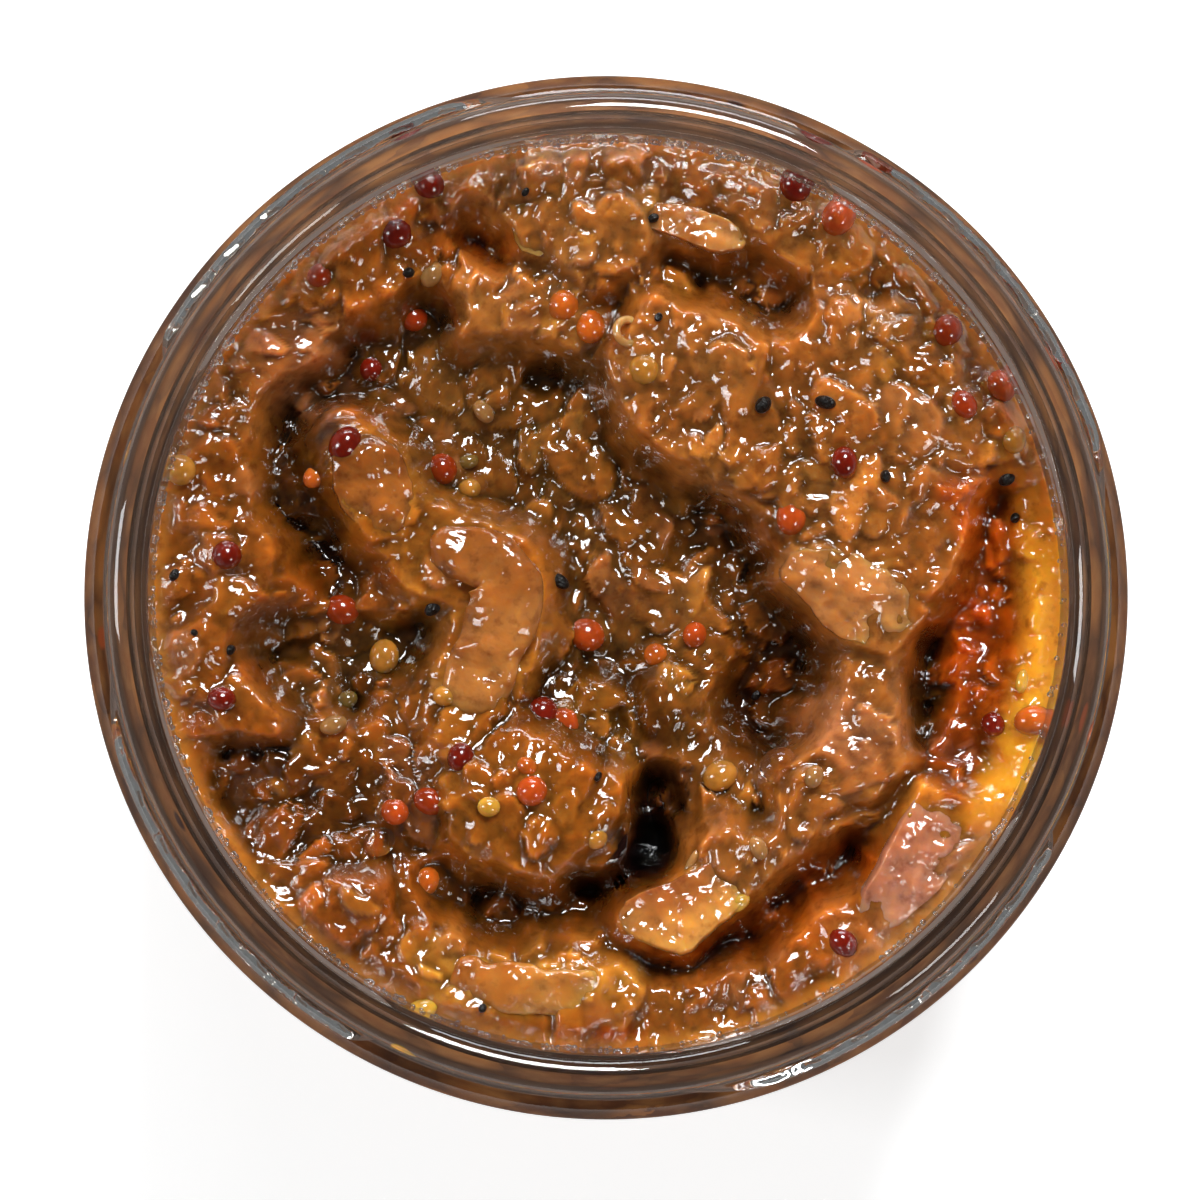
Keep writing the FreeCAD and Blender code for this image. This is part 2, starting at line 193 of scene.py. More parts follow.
# %% Sizes of the jar
jar_height, body_radius, finish_radius = 78.0, 34.0, 31.4
lip_thickness, wall_thickness, base_thickness = 2.7, 2.5, 3.4
finish_height, shoulder_height = 12.6, 4.6
bead_height, bead_projection, neck_groove = 2.6, 1.1, 0.5
heel_radius, foot_width, push_up, inner_heel_radius = 5.0, 3.2, 2.2, 6.0
lug_count, lug_arc, lug_first, lug_drop, lug_fall = 4, 60.0, 4.0, 3.3, 1.9
lug_projection, lug_depth = 1.15, 2.0
lug_lead_in, lug_stop = 0.26, 0.08
confit_reach = 0.1
bore_radius = finish_radius - lip_thickness
inner_radius = body_radius - wall_thickness
headspace = 7.0
fill_level = jar_height - headspace
print("bore", bore_radius, "inside wall", inner_radius, "fill level", fill_level)


# %% The outline
def arc_points(centre, radius, start, end, steps):
    """Points on an arc, between two bearings in degrees."""
    angles = np.radians(np.linspace(start, end, steps + 1))
    return [(centre[0] + radius * math.cos(a), centre[1] + radius * math.sin(a)) for a in angles]


def s_curve(lower, upper, steps=10):
    """Two tangent arcs between upright walls, from lower to upper."""
    (x0, z0), (x1, z1) = lower, upper
    rise, run = z1 - z0, x1 - x0
    radius = (rise**2 + run**2) / (4 * abs(run))
    sweep = math.degrees(math.asin(min(rise / 2 / radius, 1.0)))
    side = math.copysign(1, run)
    start = 180 if side > 0 else 0
    first = arc_points((x0 + side * radius, z0), radius, start, start - side * sweep, steps)
    second = arc_points((x1 - side * radius, z1), radius, start + 180 - side * sweep, start + 180, steps)
    return first + second[1:]


def dome_points(edge, top, steps=10):
    """A spherical cap from its edge in to the axis."""
    rise = top - edge[1]
    radius = (edge[0] ** 2 + rise**2) / (2 * rise)
    half = math.degrees(math.asin(edge[0] / radius))
    return arc_points((0, top - radius), radius, 90 - half, 90, steps)


def cavity_outline(inset, steps=10):
    """The inside of the glass from the mouth down to the axis, moved outwards into the glass by inset."""
    floor = base_thickness + push_up - inset
    corner = push_up * 0.35
    low, high = inner_radius + inset, bore_radius + inset
    run = body_radius - finish_radius + neck_groove
    slant = 2 * shoulder_height * run / (shoulder_height**2 + run**2)
    head = jar_height - finish_height - wall_thickness * slant
    neck = s_curve((low, head - shoulder_height), (high, head), steps)
    heel_centre = (low - inner_heel_radius, floor - corner + inner_heel_radius)
    heel = arc_points(heel_centre, inner_heel_radius, 0, -90, 8)
    return neck[::-1] + heel + dome_points(heel[-1], floor, steps)[1:]


def jar_outline():
    """From the middle of the foot up the outside, over the lip and down the inside."""
    foot_outer = body_radius - heel_radius
    foot_inner = foot_outer - foot_width
    outside = dome_points((foot_inner - 0.4, 0.12), push_up)[::-1]
    outside += [(foot_inner - 0.15, 0.03), (foot_inner, 0.0), (foot_outer, 0.0)]
    outside += arc_points((foot_outer, heel_radius), heel_radius, -90, 0, 10)[1:]
    neck_z = jar_height - finish_height
    outside += s_curve((body_radius, neck_z - shoulder_height), (finish_radius - neck_groove, neck_z), 8)
    bead_low = neck_z + 0.5
    for k in range(1, 12):
        t = k / 12
        swell = math.sin(math.pi * t) ** 0.8
        base = finish_radius - neck_groove * (1 - t)
        outside.append((base + bead_projection * swell, bead_low + bead_height * t))
    wall = np.linspace(bead_low + bead_height + 0.15, jar_height - lip_thickness / 2, 44)
    outside += [(finish_radius, z) for z in wall]
    lip = (finish_radius - lip_thickness / 2, jar_height - lip_thickness / 2)
    outside += arc_points(lip, lip_thickness / 2, 0, 180, 20)[1:]
    inner = np.linspace(lip[1] - 0.4, jar_height - finish_height - 1.6, 16)
    outside += [(bore_radius, z) for z in inner]
    return outside + cavity_outline(0.0)


outline = jar_outline()
print(len(outline), "points in the jar's outline")

# %% [markdown]
# Spinning the outline gives the blank. The four lugs are swells of the finish that run downhill:
# a steep underside, a rounded nose and a long top, thin at the lead-in and blunt at the stop.

# %% Spin the jar and raise the lugs
glass = Graph("glass").principled(
    Base_Color=(0.93, 0.95, 0.94), Roughness=0.0, IOR=1.52, Transmission_Weight=1.0)


def spin(name, points, material, steps):
    """A closed turned piece from an outline whose two ends lie on the axis."""
    edges = [(k, k + 1) for k in range(len(points) - 1)]
    piece = new_object(name, [(x * MM, 0, z * MM) for x, z in points], [], material, edges)
    bpy.ops.object.select_all(action="DESELECT")
    piece.select_set(True)
    bpy.context.view_layer.objects.active = piece
    bpy.ops.object.mode_set(mode="EDIT")
    bpy.ops.mesh.select_all(action="SELECT")
    bpy.ops.mesh.spin(steps=steps, angle=2 * math.pi, center=(0, 0, 0), axis=(0, 0, 1))
    bpy.ops.mesh.select_all(action="SELECT")
    bpy.ops.mesh.remove_doubles(threshold=0.000004)
    bpy.ops.mesh.normals_make_consistent(inside=False)
    bpy.ops.object.mode_set(mode="OBJECT")
    piece.data.shade_smooth()
    return piece


def raise_lugs(piece):
    """Moves the finish's points outwards where a lug runs, and counts them."""
    co = np.empty(len(piece.data.vertices) * 3)
    piece.data.vertices.foreach_get("co", co)
    co = co.reshape(-1, 3) / MM
    radius = np.hypot(co[:, 0], co[:, 1])
    bearing = np.degrees(np.arctan2(co[:, 1], co[:, 0]))
    wall = np.abs(radius - finish_radius) < 0.02
    lift = np.zeros(len(co))
    for k in range(lug_count):
        share = ((bearing - lug_first - 360.0 / lug_count * k) % 360) / lug_arc
        swell = np.clip(share / lug_lead_in, 0, 1) * np.clip((1 - share) / lug_stop, 0, 1)
        swell = swell * swell * (3 - 2 * swell)
        height = jar_height - lug_drop - lug_depth / 2 - lug_fall * share
        across = (co[:, 2] - height) / (lug_depth / 2)
        nose = np.where(across < -0.1, 1 - ((-0.1 - across) / 0.85) ** 2, 1 - ((across + 0.1) / 1.15) ** 2)
        lift = np.maximum(lift, np.where(share <= 1, swell, 0) * np.clip(nose, 0, 1) ** 0.6)
    lift = np.where(wall, lift, 0) * lug_projection
    scale = (radius + lift) / np.maximum(radius, 1e-6)
    co[:, 0] *= scale
    co[:, 1] *= scale
    piece.data.vertices.foreach_set("co", (co * MM).ravel())
    piece.data.update()
    return int((lift > 0.01).sum())


jar = spin("jar_glass", outline, glass, 360)
moved = raise_lugs(jar)
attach(jar, "root")
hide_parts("jar")
print("jar faces", len(jar.data.polygons), "vertices raised for the lugs", moved)

# %% [markdown]
# ## The confit's relief
# The top of the confit is a height over the mouth. Broad forms are laid down first, one over the
# other: each is an outline or a spine with a flank of a given width and a level, counted from the
# confit at the glass. Each carries a colour: the food's own, or painted shade where the form is a
# low trough, trench or hole.

# %% A net over the mouth
NET = 272


def disc_net(count):
    """A square net mapped evenly onto a unit disc: x and y of each crossing."""
    line = np.linspace(-1, 1, count + 1)
    a, b = np.meshgrid(line, line, indexing="ij")
    wide = np.abs(a) > np.abs(b)
    with np.errstate(divide="ignore", invalid="ignore"):
        turn = np.where(wide, math.pi / 4 * b / a, math.pi / 2 - math.pi / 4 * a / b)
    turn = np.nan_to_num(turn)
    r = np.where(wide, a, b)
    return r * np.cos(turn), r * np.sin(turn)


net_x, net_y = [c * (bore_radius + confit_reach) for c in disc_net(NET)]
per_mm = NET / (2 * bore_radius)
print("net of", net_x.size, "crossings, about", round(2 * bore_radius / NET, 2), "mm apart")


# %% Noise and smooth steps
def smooth(t):
    """Eases from 0 to 1 as t does, and no further."""
    t = np.clip(t, 0, 1)
    return t * t * (3 - 2 * t)


def noise(x, y, size, seed, octaves=1):
    """Smooth noise between about -1 and 1, whose grains are size mm across."""
    total, weight = np.zeros_like(x), 0.0
    for octave in range(octaves):
        grid = np.random.RandomState(seed + octave).uniform(-1, 1, (128, 128))
        u, v = x / size * 2**octave + 40.3, y / size * 2**octave + 17.9
        i, j = np.floor(u).astype(int), np.floor(v).astype(int)
        s, t = smooth(u - i), smooth(v - j)
        i, j, i1, j1 = i % 128, j % 128, (i + 1) % 128, (j + 1) % 128
        low = grid[i, j] * (1 - s) + grid[i1, j] * s
        high = grid[i, j1] * (1 - s) + grid[i1, j1] * s
        total += (low * (1 - t) + high * t) * 0.5**octave
        weight += 0.5**octave
    return total / weight * 1.6


def off_spine(x, y, spine):
    """Distance from a line of (x, y) points."""
    nearest = np.full_like(x, 1e9)
    for (ax, ay), (bx, by) in zip(spine, spine[1:]):
        dx, dy = bx - ax, by - ay
        along = np.clip(((x - ax) * dx + (y - ay) * dy) / (dx * dx + dy * dy), 0, 1)
        nearest = np.minimum(nearest, np.hypot(x - ax - along * dx, y - ay - along * dy))
    return nearest


def off_outline(x, y, outline):
    """Signed distance from a closed outline, below nought inside it."""
    ring = outline + outline[:1]
    inside = np.zeros(x.shape, bool)
    for (ax, ay), (bx, by) in zip(ring, ring[1:]):
        if ay == by:
            continue
        crosses = (ay > y) != (by > y)
        inside ^= crosses & (x < (bx - ax) * (y - ay) / (by - ay) + ax)
    distance = off_spine(x, y, ring)
    return np.where(inside, -distance, distance)


def net_noise(size, seed, octaves=1):
    return noise(net_x, net_y, size, seed, octaves)


def nearest_crossing(x, y):
    """Number of the net's crossing nearest to a place over the mouth."""
    return int(np.argmin((net_x.ravel() - x) ** 2 + (net_y.ravel() - y) ** 2))


print("noise range", net_noise(4, 1).min().round(2), net_noise(4, 1).max().round(2))

# %% [markdown]
# Forms wander a little, because food is spooned and not cut to a line, so places are stirred by
# smooth noise before distances are taken.

# %% Colours of the food
FOOD = {
    "bank": srgb(158, 90, 30),
    "tan": srgb(154, 95, 42),
    "olive": srgb(138, 86, 34),
    # moss is partly the dark olive of wet syrup and partly painted shadow in the troughs; dark and pit are
    # painted shade, near black, for the trenches and holes
    "moss": srgb(84, 47, 10),
    "dark": srgb(44, 16, 2),
    "pit": srgb(14, 4, 1),
    "rust": srgb(168, 70, 6),
    "gold": srgb(214, 144, 56),
    "film": srgb(242, 162, 44),
    "rose": srgb(184, 120, 82),
    "amber": srgb(162, 97, 32),
    "brown": srgb(114, 61, 16),
}
print(len(FOOD), "food colours")

# %% Broad forms
# points, radius of a spine or 0 for a closed outline, edge, level, crown, colour
# the low forms coloured dark and moss are painted shade in troughs and trenches, moss partly the syrup's own
# olive
FORMS = [
    ([(22.9, 4.4), (23.8, -3), (22.8, -9)], 2.6, 4.4, -2.7, 0.0, "rust"),
    ([(-9, 10), (-3, 9), (2, 4), (0, -3), (-3, -5)], 6.8, 4.0, -4.8, 0.0, "olive"),
    ([(9, 5), (10.6, 0), (10.6, -5), (9.4, -8.5)], 2.7, 2.4, -6.4, 0.0, "brown"),
    ([(-20, -3.2), (-16, -5), (-11.5, -4)], 2.9, 2.0, -5.0, 0.0, "olive"),
    ([(-8, 28.5), (-9.6, 24.5), (-6.4, 19.8), (-2, 19.4), (2, 21.2), (6, 22.8), (6.4, 19.6), (11, 17.8),
      (12.4, 21), (16.4, 22), (14, 26)], 0, 1.6, 0.7, 0.3, "tan"),
    ([(-9, 18), (-5.6, 19.2), (-2.6, 17.4)], 2.4, 1.6, -1.0, 0.4, "tan"),
    ([(0.2, 15.4), (0.6, 11.5), (1.5, 9), (4.5, 7), (7.5, 6), (10, 4.8), (10.7, 3.4), (10.5, 1.4),
      (11.2, 0), (13.5, -2.2), (16, -3.2), (18.6, -3.9), (20.6, -1.2), (22.7, 0.6), (23.5, 4), (24.3, 7),
      (24.6, 12), (20, 18.4), (12, 19.4), (6, 19), (2, 18.6)], 0, 1.5, 1.1, 0.3, "tan"),
    ([(-11.6, -12), (-8, -9.3), (-5, -8.5), (-1.5, -9.5), (1.8, -11.5), (2.6, -14), (0.8, -17.2),
      (-3.5, -18.9), (-8, -18), (-10.8, -16)], 0, 1.6, 0.1, 0.7, "amber"),
    ([(-22.5, -12.6), (-18, -14), (-13.5, -13.6)], 2.8, 2.2, -2.3, 0.4, "brown"),
    ([(16.9, -4.8), (17.2, -8), (15.0, -11), (11.8, -13.2), (9.2, -16)], 3.1, 1.5, 0.6, 0.5, "tan"),
    ([(-11.5, 3), (-8.5, 1.7), (-6.0, 0.8), (-5.9, -1.5), (-7.2, -4), (-8.8, -8)], 2.3, 1.4, -1.6, 0.6,
      "amber"),
    ([(-15.3, 7.7), (-14.0, 5.4)], 2.9, 1.4, -1.0, 0.8, "amber"),
    ([(3, -7), (5, -10), (7.4, -11.7), (9, -13)], 1.8, 1.6, -2.4, 0.6, "olive"),
    ([(-1, -7.6), (1, -5.2), (4, -4.2)], 0.8, 1.0, -3.9, 0.5, "amber"),
    ([(-10, -23.8), (-5, -25), (0, -24.8)], 1.6, 1.2, 0.3, 0.4, "gold"),
    ([(-23.2, -7.6), (-22, -8)], 2.0, 1.2, 0.7, 0.5, "bank"),
    ([(-11.6, 17.8), (-15.6, 14.6), (-19.4, 11.2), (-19.8, 7), (-18.4, 3.4), (-17.3, 1)], 1.6, 1.8, -5.2,
      0.0, "moss"),
    ([(3.6, -12.6), (3.6, -14.6), (1.5, -17.5), (-0.6, -19)], 1.7, 1.4, -8.2, 0.0, "dark"),
    ([(20.6, -1.6), (20.7, -5), (20.2, -8.6)], 0.9, 1.5, -5.2, 0.0, "moss"),
    ([(2.5, -22.9), (9, -21.6), (12, -18.6), (16, -16.8)], 1.1, 1.6, -4.0, 0.0, "rust"),
    ([(-11, -18.5), (-8, -20), (-4, -20.4), (0, -19.5)], 1.1, 1.6, -4.6, 0.0, "brown"),
    ([(-24, -9.6), (-20.5, -10.6)], 0.9, 1.4, -3.6, 0.0, "dark"),
    ([(6.8, 22.2), (8.2, 20.5), (10.6, 18.6)], 1.5, 1.6, -4.4, 0.0, "brown"),
    ([(-8.7, 23.6), (-7.0, 21.8)], 1.1, 1.2, -3.6, 0.0, "rust"),
    ([(-4.6, 13.8), (-0.9, 14.6)], 1.1, 1.4, -6.2, 0.0, "moss"),
]


def lay_forms():
    """Heights over the confit at the glass, and colours, after the broad forms."""
    r = np.hypot(net_x, net_y) / bore_radius
    level = 0.5 * net_noise(7, 3) - 2.8 * smooth((0.97 - r) / 0.42)
    colour = np.broadcast_to(FOOD["bank"], net_x.shape + (3,)).copy()
    sx, sy = net_x + 0.55 * net_noise(3.2, 11, 2), net_y + 0.55 * net_noise(3.2, 12, 2)
    for points, radius, edge, target, crown, tint in FORMS:
        away = off_spine(sx, sy, points) - radius if radius else off_outline(sx, sy, points)
        cover = 1 - smooth((away + edge / 2) / edge)
        swell = crown * (1 - smooth((away + 3.0) / 3.0))
        level += (target + swell - level) * cover
        soft = (1 - smooth((away + edge * 0.8) / (edge * 1.6)))[..., None]
        colour += (FOOD[tint] - colour) * soft
    return level, colour


height, colour = lay_forms()
# x, y, reach, colour; the dark, pit and moss tints paint shade into trenches and hollows, moss partly being
# the syrup's own colour
TINTS = [
    (0, -6.5, 4.2, "moss"), (-24, -6, 2.6, "bank"), (-22.5, 12, 3.5, "tan"), (24, -3, 3.4, "rust"),
    (8.5, 20, 2.2, "bank"), (-19.2, 10.4, 1.8, "dark"), (0, -28.5, 2.6, "rust"), (2, -15, 2.2, "pit"),
    (-18, -14, 3.0, "brown"), (20.2, -5, 1.2, "dark"), (23.5, -18, 3.0, "rose"),
    (18, -23.5, 2.6, "rose"), (24, 5, 3.0, "rust"), (2, -8, 3.0, "moss"), (-4, -6, 2.0, "moss"),
    (22.5, -22.5, 4.0, "rose"), (16, -9, 2.6, "rose"), (20, 15, 3.0, "olive"), (-1, 4, 4.0, "olive"),
    (-14.5, -4, 2.6, "moss"), (-20.5, 15, 2.8, "rose"), (12, 9, 3.0, "olive"), (-6, 25.5, 2.5, "tan"),
    (-14, 22, 4.0, "bank")]
for x, y, reach, tint in TINTS:
    away = np.hypot(net_x - x, net_y - y) + 0.8 * net_noise(2.2, 19)
    colour += (FOOD[tint] - colour) * (0.7 * smooth((reach - away) / 2.0 + 0.5))[..., None]
print("forms span", height.min().round(2), "to", height.max().round(2), "mm")

# %% [markdown]
# Then the chopped onion itself: many rounded bits pressed into the forms, each with its own size,
# turn, tilt and colour. A smooth maximum joins each to what it lies on, as syrup does.

# %% Press bits of onion into the relief
FAR_BELOW = -99.0


def smooth_max(a, b, width):
    """The higher of two, rounded where they meet, and how much of b shows."""
    share = np.clip(0.5 + 0.5 * (b - a) / width, 0, 1)
    return a + (b - a) * share + width * share * (1 - share), share


def press_bits(height, colour, bits):
    """Each bit is (x, y, length, width, rise, turn, tilt, flat, crisp, colour, strength)."""
    flat_x, flat_y = net_x.ravel(), net_y.ravel()
    h, c = height.ravel(), colour.reshape(-1, 3)
    for bx, by, length, width, rise, turn, tilt, flat, crisp, tint, strength in bits:
        reach = 0.5 * math.hypot(length, width) + 0.4
        near = np.flatnonzero((np.abs(flat_x - bx) < reach) & (np.abs(flat_y - by) < reach))
        if near.size < 6:
            continue
        dx, dy = flat_x[near] - bx, flat_y[near] - by
        along = dx * math.cos(turn) + dy * math.sin(turn)
        across = dy * math.cos(turn) - dx * math.sin(turn)
        across = across + 0.35 * width * (along / length) ** 2 * math.sin(turn * 5)
        a, b = along * 2 / length, across * 2 / width
        swing = np.arctan2(b, a)
        q = np.hypot(a, b) * (1 + 0.16 * np.sin(2 * swing + 9 * turn) + 0.12 * np.sin(3 * swing + 5 * turn))
        q = q**2.4
        seat = h[near[np.argmin(dx * dx + dy * dy)]]
        seat = 0.5 * seat + 0.5 * float(np.mean(h[near]))
        if flat:
            top = seat + rise * (1.15 - 0.15 * q - np.clip(q, 0, 1) ** 5) + 1.6 * tilt * across
        else:
            top = seat + rise * (1.25 * np.sqrt(np.clip(1 - q, 0, 1)) - 0.25) + tilt * across
        top = np.where(q < 1, np.minimum(top, h[near] + 0.9), FAR_BELOW)
        h[near], share = smooth_max(h[near], top, 0.06 if crisp else 0.24)
        c[near] += (tint - c[near]) * (share * strength)[:, None]
    return h.reshape(height.shape), c.reshape(colour.shape)


def scatter_bits(count, sizes, rises, seed, strength):
    """Bits strewn evenly over the mouth, whose colours wander about the colour they lie on."""
    rng = np.random.RandomState(seed)
    r = bore_radius * np.sqrt(rng.uniform(0, 1, count)) * 0.985
    a = rng.uniform(0, 2 * math.pi, count)
    bx, by = r * np.cos(a), r * np.sin(a)
    under = colour.reshape(-1, 3)[[nearest_crossing(x, y) for x, y in zip(bx, by)]]
    bits = []
    for k in range(count):
        length = rng.uniform(*sizes)
        width = length * rng.uniform(0.45, 0.95)
        bright = math.exp(rng.normal(0.05, 0.22))
        warm = rng.normal(0, 0.08)
        tint = under[k] * bright * np.array([1 + warm * 0.3, 1 - warm * 0.5, 1 - warm])
        if rng.uniform() < 0.07:
            tint = tint * 0.6 + FOOD["gold"] * 0.4
        elif rng.uniform() < 0.07:
            tint = tint * 0.6 + FOOD["rose"] * 0.35
        bits.append((bx[k], by[k], length, width, rng.uniform(*rises), rng.uniform(0, math.pi),
                     rng.uniform(-0.22, 0.22), rng.uniform() < 0.6, rng.uniform() < 0.2, tint, strength))
    return bits


def flow():
    """Soft folds and creases of the syrupy mass, in millimetres."""
    u, v = net_x + 1.1 * net_noise(4.5, 51, 2), net_y + 1.1 * net_noise(4.5, 52, 2)
    folds = 0.30 * noise(u, v, 2.6, 53) + 0.16 * noise(u, v, 1.3, 54) + 0.07 * noise(u, v, 0.7, 55)
    creases = np.clip(1 - np.abs(noise(u, v, 2.1, 56)) * 3.2, 0, 1) ** 2
    return folds - 0.16 * creases


bits = scatter_bits(120, (3.0, 6.5), (0.25, 0.6), 5, 0.65)
bits += scatter_bits(460, (1.3, 3.2), (0.14, 0.42), 6, 0.75)
bits += scatter_bits(420, (0.6, 1.3), (0.08, 0.2), 7, 0.75)
height = height + flow()
height, colour = press_bits(height, colour, bits)
print(len(bits), "bits pressed in, relief now", height.min().round(2), "to", height.max().round(2))

# %% [markdown]
# The larger pieces of onion are tabled before the syrup is poured, because the confit rises round
# each. Most were cut out of an onion's layers: a closed outline whose face bends like a ball,
# tipped a little. Two are strips: a bent band, cupped across its width, with blunt cut ends.

# %% The larger pieces
# outline, level, bend, thickness, tilt, bearing of the tilt's line, colours of the two ends
LAYERS = {
    "onion_strip_gold": ([(4.5, -17.8), (7.0, -16.4), (9.6, -16.8), (9.3, -18.4), (8.3, -19.9),
        (6.5, -21.2), (5.0, -22.8), (3.0, -22.2), (0.8, -21.3), (0.3, -20.2), (1.2, -19.0)], 1.0, 16, 1.7,
        -9, 20, srgb(156, 92, 46), srgb(212, 146, 72)),
    "onion_petal_wall": ([(20.0, -12.0), (23.6, -13.2), (23.0, -16.4), (20.7, -19.2), (17.8, -21.6),
        (15.8, -21.8), (16.0, -19.0), (18.1, -15.2)], 1.0, 15, 1.5, 11, 58, srgb(176, 108, 78),
        srgb(192, 128, 100)),
    "onion_chunk_amber": ([(-17.6, 9.4), (-15.5, 10.6), (-13.1, 9.4), (-12.0, 6.4), (-12.9, 3.8),
        (-15.2, 3.4), (-17.3, 6.0)], 0.7, 7.5, 2.4, 6, 65, srgb(122, 68, 24), srgb(166, 100, 42)),
    "onion_chunk_right": ([(10.5, 1.1), (12.3, -0.5), (14.0, -2.6), (17.8, -3.8), (20.4, -1.4),
        (18.4, 1.2), (15.0, 2.9), (11.8, 2.9)], 2.0, 13, 1.9, 6, -10, srgb(168, 104, 52),
        srgb(200, 134, 78)),
    "onion_wedge_olive": ([(-6.4, 24.6), (-4.6, 25.0), (-3.4, 23.0), (-4.0, 21.2), (-5.8, 21.8)], 0.7, 9,
        1.7, 5, 0, srgb(136, 86, 34), srgb(176, 122, 62)),
    "onion_plate_top": ([(1.7, 23.5), (4.0, 22.7), (6.9, 21.5), (8.9, 22.1), (8.3, 23.5), (5.2, 24.7),
        (2.3, 25.0)], 1.6, 12, 1.3, -6, 0, srgb(160, 98, 46), srgb(186, 128, 74)),
}
# spine, levels along it, widths, thickness, cup, lean, colours of the two ends
STRIPS = {
    "onion_strip_hook": ([(-11.2, 2.9), (-6.6, 1.1), (-7.2, -2.9), (-8.9, -7.7)],
        (-0.8, -0.5, -0.6, -1.0), (3.2, 5.6, 4.0), 1.7, 0.5, 0, srgb(152, 90, 38), srgb(186, 122, 62)),
    "onion_strip_folded": ([(-9.8, -23.8), (-5.2, -25.0), (-0.3, -25.0)], (0.0, 0.35, 0.1),
        (2.4, 3.8, 2.4), 1.1, 0.15, 10, srgb(176, 104, 40), srgb(206, 142, 70)),
}


def bed_for(outline, level, tilt, bearing):
    """Height of a soft bed that holds a piece, sunk in it, and falls away outside its outline."""
    mx, my = np.mean(outline, axis=0)
    turn = math.radians(bearing)
    slope = math.tan(math.radians(tilt))
    plane = level + slope * ((net_y - my) * math.cos(turn) - (net_x - mx) * math.sin(turn))
    away = off_outline(net_x, net_y, outline)
    wander = 0.25 * net_noise(1.6, 83, 2)
    bed = plane - 0.7 - 2.4 * np.maximum(away, 0) + wander
    return np.where(away < 0.7, bed, FAR_BELOW)


for outline, level, bend, thickness, tilt, bearing, *_ in LAYERS.values():
    height, _ = smooth_max(height, bed_for(outline, level, tilt, bearing), 0.4)
for spine, levels, widths, *_ in STRIPS.values():
    away = off_spine(net_x, net_y, spine) - widths[1] / 2
    bed = np.mean(levels) - 0.6 - 1.5 * np.maximum(away, 0) + 0.25 * net_noise(1.6, 84, 2)
    height, _ = smooth_max(height, np.where(away < 1.0, bed, FAR_BELOW), 0.4)
print(len(LAYERS), "layer pieces and", len(STRIPS), "strips bedded")

# %% [markdown]
# Whole mustard seeds lie all over the confit, each about two millimetres across and partly sunk.
# Syrup creeps up round each one and fills the creases between the bits.

# %% Where the seeds lie, and the syrup
SEEDS = {
    "seed_dark_red": (srgb(128, 26, 8), [
        (-11.3, 26.0, 1), (-13.4, 22.9, 1.1), (-16.6, 9.5, 1.1), (-24.1, 2.5, 1), (-15.1, 14.5, 0.8),
        (-24.4, -6.6, 0.8), (-9.3, -10.3, 0.9), (24.5, -8.2, 0.8), (14.9, 8.3, 0.9), (-4.2, -7.55, 1.1),
        (11.9, 26.0, 1.1), (14.9, -22, 0.9)]),
    "seed_red_brown": (srgb(166, 56, 14), [
        (-10.55, 8.1, 1), (21.5, 16.7, 1), (-16.95, -0.9, 1), (-11.3, -13.1, 0.9), (22.5, 12.0, 0.8),
        (-12.4, 17.8, 0.9), (-18.2, 20.2, 0.8)]),
    "seed_red_orange": (srgb(206, 84, 24), [
        (14.6, 23.9, 1.1), (24.9, 13.2, 0.9), (11.6, 4.9, 1), (-1.3, -2.5, 1.1), (-4.8, -12.4, 1),
        (5.6, -2.5, 0.8), (-2.7, -8.0, 0.9), (-13.5, -13.75, 0.9)]),
    "seed_orange": (srgb(216, 106, 28), [
        (-2.8, 18.4, 1.05), (-1.1, 17.05, 1), (-18.6, 7.55, 0.7), (-11.6, -18.3, 0.9), (26.9, -7.95, 1),
        (3.1, -3.8, 0.8), (-5.1, -10.85, 0.6)]),
    "seed_yellow": (srgb(206, 138, 50), [
        (2.3, 14.2, 1.05), (-27, 7.9, 1), (-8.8, 6.9, 0.7), (-14.3, -3.9, 1), (-10.3, -6.4, 0.7),
        (25.7, 9.8, 0.8), (-0.7, -15.4, 0.7), (7.2, -11.5, 1)]),
}


def blurred(field, reach):
    """Mean over a square of the net's crossings."""
    padded = np.pad(field, reach, mode="edge")
    total = padded.cumsum(0).cumsum(1)
    total = np.pad(total, ((1, 0), (1, 0)))
    side = 2 * reach + 1
    count = field.shape[0]
    ends = slice(side, side + count)
    starts = slice(0, count)
    box = total[ends, ends] - total[starts, ends] - total[ends, starts] + total[starts, starts]
    return box / side**2


def blurred_mm(field, reach):
    """The same, with the reach in millimetres."""
    return blurred(field, max(int(reach * per_mm), 1))


syrup = blurred_mm(blurred_mm(height, 0.5), 0.5) - 0.05
height, wetted = smooth_max(height, syrup, 0.10)
seed_rise = 0.42
seed_level = {}
for name, (tint, places) in SEEDS.items():
    for x, y, size in places:
        away = np.hypot(net_x - x, net_y - y)
        seat = float(height[away < 1.2].mean())
        seed_level[(x, y)] = seat
        creep = seat + seed_rise * size * (1 - smooth((away - 0.75 * size) / (1.1 * size))) - 0.3 * away
        height, _ = smooth_max(height, np.where(away < 3, creep, FAR_BELOW), 0.2)
print("creases filled over", round(float(wetted.mean()) * 100), "% of the mouth")

# %% [markdown]
# The last of the shape is fine grain. Colour follows form too: hollows are deep, and they, the
# syrup-filled creases and the deepest places get painted shade, raised places are painted lighter,
# and the whole top is painted darker towards the lower left.

# %% Grain, and the shade that hollows get
POOLS = [((10.4, -2), 6.5, -6.7), ((2, -16), 3.5, -7.6), ((-15.5, -4.5), 4.5, -5.1), ((-17, 10), 7.5, -5.5),
         ((-3, 6), 11, -5.2), ((20.8, -5), 4.5, -5.6), ((-6, -20), 4, -5.0), ((8.4, 20.4), 3.4, -4.9)]
for (px, py), reach, target in POOLS:
    near = np.hypot(net_x - px, net_y - py)
    syrup = target + 0.12 * net_noise(3, 77) - 2.0 * smooth((near - reach) / 2)
    height, _ = smooth_max(height, syrup, 0.35)

